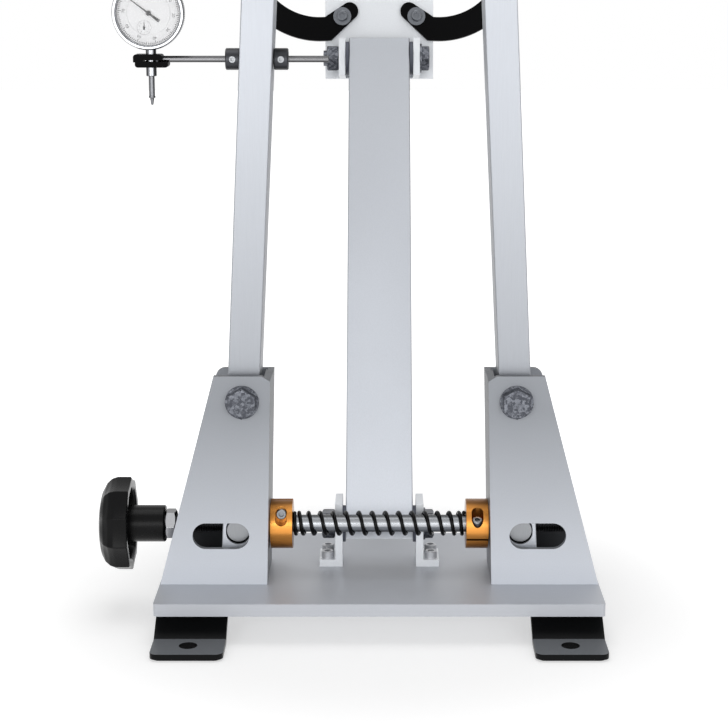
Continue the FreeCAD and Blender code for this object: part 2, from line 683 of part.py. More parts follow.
def build_base():
    """The base plate, its feet, their pads and their screws."""
    body = new_body("base_plate")
    flat = sketch_on(body, "XY_Plane", "foot_height")
    rectangle(flat, "-base_width / 2", "-base_depth / 2", "base_width / 2", "base_depth / 2")
    form = pad(body, flat, "base_thickness")
    round_edges(body, form, "base_corner", upright_edge)
    under = sketch_on(body, "XY_Plane", "foot_height")
    for _, side in SIDES:
        for end in (-1, 1):
            for run in (-1, 1):
                circle(under, "%d * foot_spacing / 2 + %d * foot_screw_spread / 2" % (side, run),
                       "%d * (base_depth / 2 - foot_screw_out)" % end,
                       "small_thread / 2 + fit")
    pocket(body, under, "thread_depth", along=True)
    top = sketch_on(body, "XY_Plane", "plate_top")
    for x, y in tower_screw_spots() + bracket_screw_spots():
        circle(top, x, y, "small_thread / 2 + fit")
    pocket(body, top, "thread_depth")
    node(body, "base_plate")

    foot = foot_form()
    group("front_feet", foot, foot_places(True))
    group("rear_feet", foot, foot_places(False))
    group("foot_pads", pad_form(), foot_places(True) + foot_places(False))
    screw = cap_screw("foot_screw_form", "button_head", "button_height", "small_thread",
                      "foot_steel + thread_depth - clearance", "4")
    spots = [("%d * foot_spacing / 2 + %d * foot_screw_spread / 2" % (side, run),
              "%d * (base_depth / 2 - foot_screw_out)" % end,
              "foot_height - foot_steel", X_AXIS, "180")
             for _, side in SIDES for end in (-1, 1) for run in (-1, 1)]
    group("foot_screws", screw, spots)


# ---------------------------------------------------------------- towers

def tower_screw_spots():
    """Where the towers are screwed to the base plate."""
    return [("%d * tower_screw_reach" % side, "screw_line + %d * tower_screw_spread / 2" % run)
            for _, side in SIDES for run in (-1, 1)]


def build_tower(name, side):
    """A folded tower, open outwards and at the top."""
    body = new_body("tower_" + name)

    def out(text):
        return "%d * (%s)" % (side, text)

    front = sketch_on(body, "XZ_Plane")
    outline(front, [
        (out("tower_foot_inner"), "0"),
        (out("tower_top_inner"), "tower_height - tower_chamfer_drop"),
        (out("tower_top_inner + tower_chamfer"), "tower_height"),
        (out("tower_top_outer"), "tower_height"),
        (out("tower_foot_outer"), "0")])
    pad(body, front, "tower_depth", both=True)

    lean_at = "(%s) * tan(tower_inner_lean)"
    inside = sketch_on(body, "XZ_Plane")
    outline(inside, [
        (out("tower_foot_inner + tower_sheet - " + lean_at % "tower_sheet"), "tower_sheet"),
        (out("tower_foot_inner + tower_sheet - " + lean_at % "tower_height + 1"),
         "tower_height + 1"),
        (out("tower_foot_outer + 1"), "tower_height + 1"),
        (out("tower_foot_outer + 1"), "tower_sheet")])
    pocket(body, inside, "tower_depth - 2 * tower_sheet", both=True)

    tab = sketch_on(body, "XZ_Plane")
    rectangle(tab, out("tower_foot_inner + tower_tab"), "-1",
              out("tower_foot_outer + 1"), "tower_sheet + 1")
    pocket(body, tab, "tower_depth - 2 * tower_sheet", both=True)

    rear = sketch_on(body, "XZ_Plane")
    rectangle(rear, out("tower_top_inner - 1"), "tower_height - tower_back_drop",
              out("tower_foot_outer"), "tower_height + 1")
    form = pocket(body, rear, "tower_depth")
    level = number("tower_height - tower_back_drop")
    beyond = number("pivot_reach")
    round_edges(body, form, "tower_back_corner",
                lambda e: e.BoundBox.XLength < 1e-3 and e.BoundBox.ZLength < 1e-3
                and abs(e.BoundBox.ZMin - level) < 1e-3 and e.BoundBox.YMin > 0
                and abs(e.BoundBox.XMin) > beyond)

    window = sketch_on(body, "XZ_Plane")
    slot(window, out("window_reach"), "window_level", "window_width / 2", "window_height / 2")
    pocket(body, window, "tower_depth", along=True)

    bolt = sketch_on(body, "XZ_Plane")
    circle(bolt, out("pivot_reach"), "pivot_level", "large_thread / 2 + fit")
    pocket(body, bolt, both=True)

    bore = sketch_on(body, "YZ_Plane")
    circle(bore, "0", "screw_level", "bush_diameter / 2 + fit")
    pocket(body, bore, "tower_foot_outer", along=side == RIGHT)

    screws = sketch_on(body, "XY_Plane")
    for run in (-1, 1):
        circle(screws, out("tower_screw_reach"), "%d * tower_screw_spread / 2" % run,
               "small_thread / 2 + fit")
    pocket(body, screws, "tower_sheet", along=True)
    place(body, y="screw_line", z="plate_top")
    node(body, "tower_" + name)


def build_towers():
    """Both towers with their screws, pivot bolts, sleeves, spacers and bushes."""
    for name, side in SIDES:
        build_tower(name, side)
    screw = cap_screw("tower_screw_form", "cap_head", "cap_height", "small_thread",
                      "tower_sheet + thread_depth - clearance", "cap_socket")
    group("tower_screws", screw,
          [(x, y, "plate_top + tower_sheet") for x, y in tower_screw_spots()])
    spots = [("%d * pivot_reach" % side, "pivot_z") for _, side in SIDES]
    front = "screw_line - tower_half"
    back = "screw_line + tower_half"
    group("pivot_bolts", hex_bolt("pivot_bolt_form", "tower_depth"),
          [(x, front, z, X_AXIS, "90") for x, z in spots])
    group("pivot_nuts", hex_nut("pivot_nut_form", "nut_height"),
          [(x, back, z, X_AXIS, "-90") for x, z in spots])
    sleeve = ring("sleeve_form", "sleeve_diameter", "large_thread + 2 * fit",
                  "tower_depth - 2 * tower_sheet")
    group("pivot_sleeves", sleeve,
          [(x, "screw_line + tower_half - tower_sheet", z, X_AXIS, "90") for x, z in spots])
    gap = "(tower_depth - 2 * tower_sheet - upright_depth) / 2 - 2 * fit"
    spacer = ring("spacer_form", "spacer_diameter", "sleeve_diameter + 2 * fit", gap)
    inner = "tower_half - tower_sheet"
    group("pivot_spacers", spacer,
          [(x, "screw_line + %s" % inner, z, X_AXIS, "90") for x, z in spots]
          + [(x, "screw_line - (%s)" % inner, z, X_AXIS, "-90") for x, z in spots])
    bush = ring("bush_form", "bush_diameter", "large_thread + 2 * fit", "bush_length")
    start = "collar_outer + 0.2"
    group("screw_bushes", bush,
          [("%d * (%s)" % (side, start), "screw_line", "screw_z", Y_AXIS, "%d" % (side * 90))
           for _, side in SIDES])


# ---------------------------------------------------------------- lead screw

def build_lead_screw():
    """The screw, its knob and jam nut, the two clamp collars and the spring."""
    half = "large_thread / 2"
    screw = turned("lead_screw", [
        ("0", "-screw_left"), (half + " - screw_chamfer", "-screw_left"),
        (half, "-screw_left + screw_chamfer"), (half, "screw_right - screw_chamfer"),
        (half + " - screw_chamfer", "screw_right"), ("0", "screw_right")])
    place(screw, "0", "screw_line", "screw_z", Y_AXIS, "90")
    node(screw, "lead_screw")
    build_knob()
    place(node(hex_nut("jam_nut", "jam_nut"), "jam_nut"),
          "-(hub_left)", "screw_line", "screw_z", Y_AXIS, "90")
    for name, side in SIDES:
        build_collar(name, side)
    clamp_screw = cap_screw("collar_screw_form", "collar_head", "collar_thread",
                            "collar_thread", "collar_pocket_floor + 6", "4")
    middle = "(collar_inner + collar_outer) / 2"
    group("collar_screws", clamp_screw, [
        ("-(%s)" % middle, "screw_line - collar_pocket_floor",
         "screw_z + collar_screw_level", X_AXIS, "90"),
        (middle,
         "screw_line - collar_screw_level * sin(right_collar_turn)"
         " + collar_pocket_floor * cos(right_collar_turn)",
         "screw_z + collar_screw_level * cos(right_collar_turn)"
         " + collar_pocket_floor * sin(right_collar_turn)",
         X_AXIS, "right_collar_turn - 90")])
    build_spring()


def build_knob():
    """A fluted knob: its own Z runs from the domed face, at z = 0, towards the stand."""
    back = "knob_thickness"
    end = "knob_thickness + knob_hub_length"
    body = turned("knob", [
        ("0", "0"), ("knob_diameter * 0.26", "knob_shoulder * 0.05"),
        ("knob_diameter * 0.36", "knob_shoulder * 0.16"),
        ("knob_diameter * 0.44", "knob_shoulder * 0.38"),
        ("knob_diameter * 0.485", "knob_shoulder * 0.68"),
        ("knob_diameter / 2", "knob_shoulder"),
        ("knob_diameter / 2", back), ("knob_diameter / 2 - knob_wall", back),
        ("knob_diameter / 2 - knob_wall", back + " - knob_hollow"),
        ("knob_hub / 2", back + " - knob_hollow"),
        ("knob_hub / 2", end + " - 1.5"), ("knob_hub / 2 - 1.5", end), ("0", end)])
    valley = sketch_on(body, "XY_Plane")
    out = "(knob_diameter / 2 - knob_valley_depth + knob_valley)"
    circle(valley, out + " * cos(knob_first)", "-%s * sin(knob_first)" % out, "knob_valley")
    cut = pocket(body, valley, both=True)
    pattern = body.newObject("PartDesign::PolarPattern", "knob_lobes")
    pattern.Originals = [cut]
    pattern.Axis = (valley, ["N_Axis"])
    pattern.Angle = FULL_TURN
    pattern.Occurrences = 10
    finish_feature(body, pattern)
    bore = sketch_on(body, "XY_Plane", end)
    circle(bore, "0", "0", "large_thread / 2 + fit")
    pocket(body, bore, "screw_left - hub_left + clearance")
    place(body, "-(hub_left + %s)" % end, "screw_line", "screw_z", Y_AXIS, "90")
    node(body, "knob")


def build_collar(name, side):
    """A slit clamp collar with a round-bottomed pocket for its screw.  The right one
    is the mirror image of the left one, turned about the screw."""
    body = new_body("collar_" + name)
    disc = sketch_on(body, "YZ_Plane")
    circle(disc, "0", "0", "collar_diameter / 2")
    circle(disc, "0", "0", "large_thread / 2 + fit")
    pad(body, disc, "collar_width", both=True)
    slit = sketch_on(body, "YZ_Plane")
    rectangle(slit, "-collar_slit / 2", "large_thread / 4", "collar_slit / 2", "collar_diameter")
    pocket(body, slit, both=True)
    hollow = sketch_on(body, "XZ_Plane", "%d * collar_pocket_floor" % -side)
    half = "collar_pocket / 2"
    low, high = "collar_pocket_low", "collar_pocket_high"
    outline(hollow, [
        (half, low), (half, high, half, 1), ("0", high + " + " + half, half, 1),
        ("-" + half, high), ("-" + half, low, half, 1), ("0", low + " - " + half, half, 1)])
    pocket(body, hollow, "collar_diameter", along=side == LEFT)
    hole = sketch_on(body, "XZ_Plane")
    circle(hole, "0", "collar_screw_level", "collar_thread / 2 + fit")
    pocket(body, hole, "2 * collar_pocket_floor", both=True)
    middle = "%d * (collar_inner + collar_outer) / 2" % side
    turn = "0" if side == LEFT else "right_collar_turn"
    place(body, middle, "screw_line", "screw_z", X_AXIS, turn)
    node(body, "collar_" + name)


def build_spring():
    """The coil spring between the collars, wound round the screw."""
    body = new_body("screw_spring")
    wire = sketch_on(body, "XZ_Plane")
    circle(wire, "(spring_diameter - spring_wire) / 2", "0", "spring_wire / 2")
    coil = body.newObject("PartDesign::AdditiveHelix", "screw_spring_coil")
    coil.Profile = wire
    coil.ReferenceAxis = (wire, ["V_Axis"])
    coil.Mode = 0
    bind(coil, "Pitch", "spring_pitch")
    bind(coil, "Height", "spring_length - spring_wire - 2 * fit")
    finish_feature(body, coil)
    place(body, "-collar_inner + spring_wire / 2 + fit", "screw_line", "screw_z", Y_AXIS, "90")
    node(body, "screw_spring")


# ---------------------------------------------------------------- uprights

def lean(body, side):
    """Stand a body on the pivot of one side, leaning towards the middle."""
    place(body, "%d * pivot_reach" % side, "screw_line", "pivot_z", Y_AXIS,
          "%d * upright_lean" % -side)


def build_upright(name, side):
    """A tube that swings about its own origin, the pivot."""
    body = new_body("upright_" + name)
    bottom = "-(screw_drop + upright_below)"
    flat = sketch_on(body, "XY_Plane", bottom)
    rectangle(flat, "-upright_width / 2", "-upright_depth / 2",
              "upright_width / 2", "upright_depth / 2")
    tube = pad(body, flat, "upright_reach + screw_drop + upright_below")
    round_edges(body, tube, "1.2", upright_edge)
    core = sketch_on(body, "XY_Plane", bottom)
    rectangle(core, "-(upright_width / 2 - upright_wall)", "-(upright_depth / 2 - upright_wall)",
              "upright_width / 2 - upright_wall", "upright_depth / 2 - upright_wall")
    pocket(body, core, both=True)
    front = sketch_on(body, "XZ_Plane")
    circle(front, "0", "0", "sleeve_diameter / 2 + fit")
    slot(front, "0", "-screw_drop", "nut_diameter / 2 + nut_slack",
         "nut_diameter / 2 + nut_travel")
    pocket(body, front, both=True)
    across = sketch_on(body, "YZ_Plane")
    slot(across, "0", "-screw_drop", "screw_pass_width / 2", "screw_pass_height / 2")
    if side == LEFT:
        circle(across, "0", "(gauge_level - pivot_level) / cos(upright_lean)", "rod_pass / 2")
    pocket(body, across, both=True)
    pocket(body, dropout_holes(body), "upright_width", along=side == LEFT)
    lean(body, side)
    node(body, "upright_" + name)


def dropout_holes(body):
    """The two screw holes that an upright and its dropout plate share."""
    holes = sketch_on(body, "YZ_Plane")
    for run in (-1, 1):
        circle(holes, "%d * dropout_screw_spread / 2" % run, "upright_reach - dropout_screw_drop",
               "small_thread / 2 + fit")
    return holes


def build_plugs(name, side):
    """Plastic plugs in both ends of an upright."""
    plug = new_body("upright_plug_%s_form" % name)
    flat = sketch_on(plug, "XY_Plane")
    rectangle(flat, "-(upright_width / 2 - upright_wall - fit)",
              "-(upright_depth / 2 - upright_wall - fit)",
              "upright_width / 2 - upright_wall - fit", "upright_depth / 2 - upright_wall - fit")
    pad(plug, flat, "plug_depth")
    along = {"high": "upright_reach - plug_depth + 0.4", "low": "-(screw_drop + upright_below)"}
    inward = -side
    group("upright_plugs_" + name, plug, [
        ("%d * pivot_reach + %d * (%s) * sin(upright_lean)" % (side, inward, run), "screw_line",
         "pivot_z + (%s) * cos(upright_lean)" % run, Y_AXIS, "%d * upright_lean" % inward)
        for run in along.values()])


def build_dropout(name, side):
    """A plate on the inner face of an upright with an open slot for the axle."""
    body = new_body("dropout_" + name)
    face = "%d * upright_width / 2" % -side
    flat = sketch_on(body, "YZ_Plane", face)
    half = "upright_depth / 2"
    groove_half = "axle_slot / 2"
    seat = "upright_reach + axle_level"
    top = "upright_reach + dropout_above"
    outline(flat, [
        ("-" + half, "upright_reach - dropout_below"), (half, "upright_reach - dropout_below"),
        (half, top + " - 8"), (half + " - 8", top),
        (groove_half + " + 3", top), (groove_half, top + " - 5"),
        (groove_half, seat, groove_half, -1),
        ("0", seat + " - " + groove_half, groove_half, -1),
        ("-" + groove_half, seat), ("-" + groove_half, top + " - 5"),
        ("-(%s + 3)" % groove_half, top), ("-(%s - 8)" % half, top), ("-" + half, top + " - 8")])
    pad(body, flat, "dropout_thickness", against=side == RIGHT)
    pocket(body, dropout_holes(body), both=True)
    lean(body, side)
    node(body, "dropout_" + name)


def build_dropout_screws(name, side):
    """The two screws of a dropout plate, their axes square to the upright."""
    form = cap_screw("dropout_screw_%s_form" % name, "button_head", "button_height",
                     "small_thread", "dropout_thickness + upright_wall + 2", "4")
    inward = -side
    out = "(upright_width / 2 + dropout_thickness)"
    run = "(upright_reach - dropout_screw_drop)"
    across = "%d * pivot_reach + %d * (%s * sin(upright_lean) + %s * cos(upright_lean))"
    group("dropout_screws_" + name, form, [
        (across % (side, inward, run, out), "screw_line + %d * dropout_screw_spread / 2" % spread,
         "pivot_z + %s * cos(upright_lean) - %s * sin(upright_lean)" % (run, out),
         Y_AXIS, "%d * (90 + upright_lean)" % inward) for spread in (-1, 1)])


def build_barrel_nut(name, side):
    """A round nut across an upright, tapped for the lead screw."""
    body = turned("barrel_nut_" + name, [
        ("0", "-upright_depth / 2 + 0.2"), ("nut_diameter / 2 - 0.6", "-upright_depth / 2 + 0.2"),
        ("nut_diameter / 2", "-upright_depth / 2 + 0.8"),
        ("nut_diameter / 2", "upright_depth / 2 - 0.8"),
        ("nut_diameter / 2 - 0.6", "upright_depth / 2 - 0.2"), ("0", "upright_depth / 2 - 0.2")])
    bore = sketch_on(body, "YZ_Plane")
    circle(bore, "0", "0", "large_thread / 2 + fit")
    pocket(body, bore, both=True)
    place(body, "%d * (nut_reach)" % side, "screw_line", "screw_z", X_AXIS, "90")
    node(body, "barrel_nut_" + name)


def build_uprights():
    """Both uprights with what they carry."""
    for name, side in SIDES:
        build_upright(name, side)
        build_plugs(name, side)
        build_dropout(name, side)
        build_dropout_screws(name, side)
        build_barrel_nut(name, side)


# ---------------------------------------------------------------- post

def bracket_screw_spots():
    """Where the angle brackets are screwed to the base plate."""
    return [("%d * (bracket_end - bracket_screw_inset)" % side,
             "post_line + %d * bracket_screw_spread / 2" % run)
            for _, side in SIDES for run in (-1, 1)]


def build_bracket(name, side):
    """An angle bracket that holds one side of the post's pivot bolt."""
    body = new_body("post_bracket_" + name)

    def out(text):
        return "%d * (%s)" % (side, text)

    angle = sketch_on(body, "XZ_Plane")
    outline(angle, [
        (out("bracket_inner"), "0"), (out("bracket_end"), "0"),
        (out("bracket_end"), "bracket_sheet"), (out("bracket_outer"), "bracket_sheet"),
        (out("bracket_outer"), "bracket_height"), (out("bracket_inner"), "bracket_height")])
    pad(body, angle, "bracket_depth", both=True)
    bore = sketch_on(body, "YZ_Plane")
    circle(bore, "0", "post_level", "large_thread / 2 + fit")
    pocket(body, bore, both=True)
    screws = sketch_on(body, "XY_Plane")
    for run in (-1, 1):
        circle(screws, out("bracket_end - bracket_screw_inset"),
               "%d * bracket_screw_spread / 2" % run, "small_thread / 2 + fit")
    pocket(body, screws, "bracket_sheet", along=True)
    place(body, y="post_line", z="plate_top")
    node(body, "post_bracket_" + name)


def post_frame(body):
    """Stand a body on the post's pivot, leaning back."""
    place(body, "0", "post_line", "post_z", X_AXIS, "-post_lean")


def build_post():
    """The post, its plug, its pivot bolt and the brackets."""
    for name, side in SIDES:
        build_bracket(name, side)
    screw = cap_screw("bracket_screw_form", "cap_head", "cap_height", "small_thread",
                      "bracket_sheet + thread_depth - clearance", "cap_socket")
    group("post_bracket_screws", screw,
          [(x, y, "plate_top + bracket_sheet") for x, y in bracket_screw_spots()])
    bolt = hex_bolt("post_bolt", "2 * (bracket_outer)")
    place(bolt, "bracket_outer", "post_line", "post_z", Y_AXIS, "90")
    node(bolt, "post_bolt")
    nut = hex_nut("post_nut", "nut_height")
    place(nut, "-(bracket_outer)", "post_line", "post_z", Y_AXIS, "-90")
    node(nut, "post_nut")
    washer = ring("post_washer_form", "post_washer_size", "large_thread + 2 * fit",
                  "post_washer - 2 * fit")
    group("post_washers", washer,
          [("%d * bracket_inner" % side, "post_line", "post_z", Y_AXIS, "%d" % (-side * 90))
           for _, side in SIDES])

    body = new_body("post")
    flat = sketch_on(body, "XY_Plane", "-post_below")
    rectangle(flat, "-post_width / 2", "-post_depth / 2", "post_width / 2", "post_depth / 2")
    tube = pad(body, flat, "post_reach + post_below")
    round_edges(body, tube, "1.2", upright_edge)
    core = sketch_on(body, "XY_Plane")
    rectangle(core, "-(post_width / 2 - post_wall)", "-(post_depth / 2 - post_wall)",
              "post_width / 2 - post_wall", "post_depth / 2 - post_wall")
    pocket(body, core, both=True)
    end = sketch_on(body, "YZ_Plane")
    outline(end, [
        ("-post_depth / 2 - 1", "-post_below - tan(post_cut)"),
        ("-post_depth / 2 - 1", "-post_below - 1"), ("post_depth / 2 + 1", "-post_below - 1"),
        ("post_depth / 2 + 1", "-post_below + (post_depth + 1) * tan(post_cut)")])
    pocket(body, end, both=True)
    bores = sketch_on(body, "YZ_Plane")
    for level in ("0", "caliper_reach"):
        circle(bores, "0", level, "large_thread / 2 + fit")
    pocket(body, bores, both=True)
    post_frame(body)
    node(body, "post")

    plug = new_body("post_plug")
    flat = sketch_on(plug, "XY_Plane")
    rectangle(flat, "-(post_width / 2 - post_wall - fit)", "-(post_depth / 2 - post_wall - fit)",
              "post_width / 2 - post_wall - fit", "post_depth / 2 - post_wall - fit")
    pad(plug, flat, "plug_depth / 2")
    run = "(post_reach - plug_depth / 2)"
    place(plug, "0", "post_line + %s * sin(post_lean)" % run,
          "post_z + %s * cos(post_lean)" % run, X_AXIS, "-post_lean")
    node(plug, "post_plug")


# ---------------------------------------------------------------- caliper

def caliper_frame(body):
    """Put a body on the caliper pivot, leaning back with the caliper plate."""
    place(body, "0", "caliper_y", "caliper_z", X_AXIS, "-caliper_tilt")


def caliper_spot(x, back, up, axis, angle):
    """A place given in the caliper's own frame: sideways, backwards and up."""
    return (x,
            "caliper_y + (%s) * cos(caliper_tilt) + (%s) * sin(caliper_tilt)" % (back, up),
            "caliper_z - (%s) * sin(caliper_tilt) + (%s) * cos(caliper_tilt)" % (back, up),
            axis, angle)


def build_caliper_bracket():
    """The caliper plate with its two cheeks, and what bolts it to the post."""
    body = new_body("caliper_bracket")
    plate = sketch_on(body, "XZ_Plane", "-caliper_offset")
    rectangle(plate, "-caliper_width / 2", "-caliper_down", "caliper_width / 2", "caliper_up")
    form = pad(body, plate, "caliper_plate", against=True)
    cheeks = sketch_on(body, "XZ_Plane", "-(caliper_offset + 1)")
    for side in (LEFT, RIGHT):
        rectangle(cheeks, "%d * cheek_inner" % side, "-caliper_down",
                  "%d * cheek_outer" % side, "cheek_up")
    pad(body, cheeks, "caliper_offset + cheek_front + 1")
    bore = sketch_on(body, "YZ_Plane")
    circle(bore, "0", "0", "large_thread / 2 + fit")
    pocket(body, bore, both=True)
    holes = sketch_on(body, "XZ_Plane")
    for side in (LEFT, RIGHT):
        circle(holes, "%d * arm_pivot_reach" % side, "arm_pivot_level", "small_thread / 2 + fit")
    pocket(body, holes)
    caliper_frame(body)
    node(body, "caliper_bracket")

    bolt = hex_bolt("caliper_bolt", "2 * (cheek_outer)")
    place(bolt, "cheek_outer", "caliper_y", "caliper_z", Y_AXIS, "90")
    node(bolt, "caliper_bolt")
    nut = hex_nut("caliper_nut", "nut_height")
    place(nut, "-(cheek_outer)", "caliper_y", "caliper_z", Y_AXIS, "-90")
    node(nut, "caliper_nut")
    washer = ring("caliper_washer_form", "caliper_spacer_size", "large_thread + 2 * fit",
                  "caliper_spacer - fit")
    group("caliper_washers", washer,
          [("%d * cheek_inner" % side, "caliper_y", "caliper_z", Y_AXIS, "%d" % (-side * 90))
           for _, side in SIDES])
    screw = turned("arm_screw_form", [
        ("0", "-(arm_thickness + caliper_plate)"),
        ("small_thread / 2", "-(arm_thickness + caliper_plate)"), ("small_thread / 2", "0"),
        ("arm_washer / 2", "0"), ("arm_washer / 2", "arm_washer_thickness"),
        ("cap_head / 2", "arm_washer_thickness"),
        ("cap_head / 2", "arm_washer_thickness + cap_height - 0.8"),
        ("cap_head / 2 - 0.8", "arm_washer_thickness + cap_height"),
        ("0", "arm_washer_thickness + cap_height")])
    hollow = sketch_on(screw, "XY_Plane", "arm_washer_thickness + cap_height")
    hexagon(hollow, "cap_socket * 1.1547")
    pocket(screw, hollow, "cap_height * 0.6")
    group("arm_screws", screw, [
        caliper_spot("%d * arm_pivot_reach" % side, "arm_front - fit", "arm_pivot_level",
                     X_AXIS, "90 - caliper_tilt") for _, side in SIDES])


def build_arm(name, side):
    """A bowed caliper arm with a block for the rim pin at its end."""
    body = new_body("caliper_arm_" + name)

    def out(text):
        return "%d * (%s)" % (side, text)

    turn = side
    start, end = 5, 7.7
    foot = ("arm_centre_reach - arm_outer * sin(%s)" % end,
            "arm_centre_level - arm_outer * cos(%s)" % end)
    neck = ("arm_centre_reach - arm_inner * sin(%s)" % start,
            "arm_centre_level - arm_inner * cos(%s)" % start)
    face = sketch_on(body, "XZ_Plane", "-arm_back")
    outline(face, [
        (out(neck[0]), neck[1], "arm_inner", turn),
        (out("arm_centre_reach + arm_inner"), "arm_centre_level", "arm_inner", turn),
        (out("arm_centre_reach"), "arm_centre_level + arm_inner"),
        (out("arm_centre_reach"), "arm_centre_level + arm_outer", "arm_outer", -turn),
        (out("arm_centre_reach + arm_outer"), "arm_centre_level", "arm_outer", -turn),
        (out(foot[0]), foot[1]),
        (out("arm_lobe_reach - arm_lobe * cos(40)"), "arm_lobe_level - arm_lobe * sin(40)",
         "arm_lobe", -turn),
        (out("arm_lobe_reach - arm_lobe * cos(-25)"), "arm_lobe_level - arm_lobe * sin(-25)",
         "arm_lobe", -turn),
        (out("arm_lobe_reach + arm_lobe * cos(60)"), "arm_lobe_level + arm_lobe * sin(60)")])
    pad(body, face, "arm_thickness")
    block = sketch_on(body, "XZ_Plane", "-arm_back")
    rectangle(block, out("arm_centre_reach - tip_block / 2"), "tip_level - tip_block / 2",
              out("arm_centre_reach + tip_block / 2"), "tip_level + tip_block / 2")
    pad(body, block, "tip_block_depth")
    bolt = sketch_on(body, "XZ_Plane")
    circle(bolt, out("arm_pivot_reach"), "arm_pivot_level", "small_thread / 2 + fit")
    pocket(body, bolt, both=True)
    bore = sketch_on(body, "YZ_Plane")
    circle(bore, "arm_front - pin_line", "tip_level", "pin_diameter / 2 + fit")
    pocket(body, bore, both=True)
    caliper_frame(body)
    node(body, "caliper_arm_" + name)


def build_rim_pin(name, side):
    """A knurled pin through the block of an arm.  Its own Z points at the rim."""
    near = "-(tip_block / 2 + pin_in)"
    far = "tip_block / 2 + pin_out"
    body = turned("rim_pin_" + name, [
        ("0", near + " - pin_head_width"), ("pin_head / 2 - 0.8", near + " - pin_head_width"),
        ("pin_head / 2", near + " - pin_head_width + 0.8"), ("pin_head / 2", near + " - 0.8"),
        ("pin_head / 2 - 0.8", near), ("pin_diameter / 2", near),
        ("pin_diameter / 2", far + " - pin_point"), ("pin_diameter / 6", far), ("0", far)])
    spot = caliper_spot("%d * arm_centre_reach" % side, "arm_front - pin_line",
                        "tip_level", Y_AXIS, "%d" % (-side * 90))
    place(body, *spot)
    node(body, "rim_pin_" + name)


def build_caliper():
    """The caliper with both arms and their pins."""
    build_caliper_bracket()
    for name, side in SIDES:
        build_arm(name, side)
        build_rim_pin(name, side)


# ---------------------------------------------------------------- dial gauge

def build_gauge_rod():
    """The rod through the left upright, its two collars and their set screws."""
    half = "gauge_rod / 2"
    length = "gauge_rod_left - gauge_rod_right"
    rod = turned("gauge_rod", [
        ("0", "0"), (half + " - 0.5", "0"), (half, "0.5"), (half, length + " - 0.5"),
        (half + " - 0.5", length), ("0", length)])
    place(rod, "-gauge_rod_left", "screw_line", "gauge_z", Y_AXIS, "90")
    node(rod, "gauge_rod")
    form = turned("rod_collar_form", [
        ("gauge_rod / 2 + fit", "0"), ("rod_collar / 2 - 0.7", "0"), ("rod_collar / 2", "0.7"),
        ("rod_collar / 2", "rod_collar_width - 0.7"),
        ("rod_collar / 2 - 0.7", "rod_collar_width"), ("gauge_rod / 2 + fit", "rod_collar_width")])
    hole = sketch_on(form, "XZ_Plane")
    circle(hole, "0", "rod_collar_width / 2", "set_screw / 2 + fit")
    pocket(form, hole, along=True)
    outer = "-(gauge_reach + rod_collar_gap + rod_collar_width)"
    inner = "-(gauge_reach - rod_collar_gap)"
    places = [(x, "screw_line", "gauge_z", Y_AXIS, "90") for x in (outer, inner)]
    group("rod_collars", form, places)
    length = "rod_collar / 2 - gauge_rod / 2 - fit - 0.6"
    screw = turned("set_screw_form", [
        ("0", "0"), ("set_screw / 2 - 0.5", "0"), ("set_screw / 2", "0.5"),
        ("set_screw / 2", length), ("0", length)])
    hollow = sketch_on(screw, "XY_Plane", length)
    hexagon(hollow, "2.5 * 1.1547")
    pocket(screw, hollow, "2.5")
    group("set_screws", screw, [
        (x + " + rod_collar_width / 2", "screw_line - gauge_rod / 2 - fit", "gauge_z",
         X_AXIS, "90") for x in (outer, inner)])


def build_clamp():
    """The split block that grips both the rod and the stem, and its screw."""
    body = new_body("gauge_clamp")
    wide, high, bend = "clamp_width / 2", "clamp_height / 2", "clamp_round"
    face = sketch_on(body, "XZ_Plane")
    outline(face, [
        ("clamp_notch + clamp_round - " + wide, "-" + high),
        (wide + " - clamp_round", "-" + high, bend, 1), (wide, "clamp_round - " + high),
        (wide, "-clamp_slit / 2"), (wide + " - clamp_step", "-clamp_slit / 2"),
        (wide + " - clamp_step", high + " - clamp_round", bend, 1),
        (wide + " - clamp_step - clamp_round", high), ("clamp_round - " + wide, high, bend, 1),
        ("-" + wide, high + " - clamp_round"), ("-" + wide, "-1"),
        ("clamp_notch - " + wide, "-1"),
        ("clamp_notch - " + wide, "clamp_round - " + high, bend, 1)])
    pad(body, face, "clamp_depth", both=True)
    middle = "(clamp_right + clamp_width / 2)"
    stem = sketch_on(body, "XY_Plane")
    circle(stem, middle + " - dial_reach", "0", "stem_diameter / 2 + fit")
    pocket(body, stem, both=True)
    rod = sketch_on(body, "YZ_Plane")
    circle(rod, "0", "clamp_rise", "gauge_rod / 2 + fit")
    pocket(body, rod, "clamp_width", along=True)
    slit = sketch_on(body, "XZ_Plane")
    rectangle(slit, middle + " - dial_reach - stem_diameter / 2 - 1.5", "-clamp_slit / 2",
              "clamp_width", "clamp_slit / 2")
    pocket(body, slit, both=True)
    hole = sketch_on(body, "XY_Plane")
    circle(hole, "clamp_width / 2 - clamp_screw_inset", "-clamp_screw_front",
           "clamp_screw / 2 + fit")
    pocket(body, hole, both=True)
    place(body, "-" + middle, "screw_line", "gauge_z - clamp_rise")
    node(body, "gauge_clamp")
    screw = turned("clamp_screw", [
        ("0", "0.3 - clamp_height"), ("clamp_screw / 2 - 0.4", "0.3 - clamp_height"),
        ("clamp_screw / 2", "0.7 - clamp_height"), ("clamp_screw / 2", "-0.3"), ("0", "-0.3")])
    hollow = sketch_on(screw, "XY_Plane", "-0.3")
    hexagon(hollow, "1.5 * 1.1547")
    pocket(screw, hollow, "1.5")
    place(screw, "-(clamp_right + clamp_screw_inset)", "screw_line - clamp_screw_front",
          "gauge_z - clamp_rise + clamp_height / 2")
    node(screw, "clamp_screw")


def facing(body, x="-dial_reach", z="dial_z", y="screw_line"):
    """Turn a body made about Z so that its Z points at the user."""
    place(body, x, y, z, X_AXIS, "90")


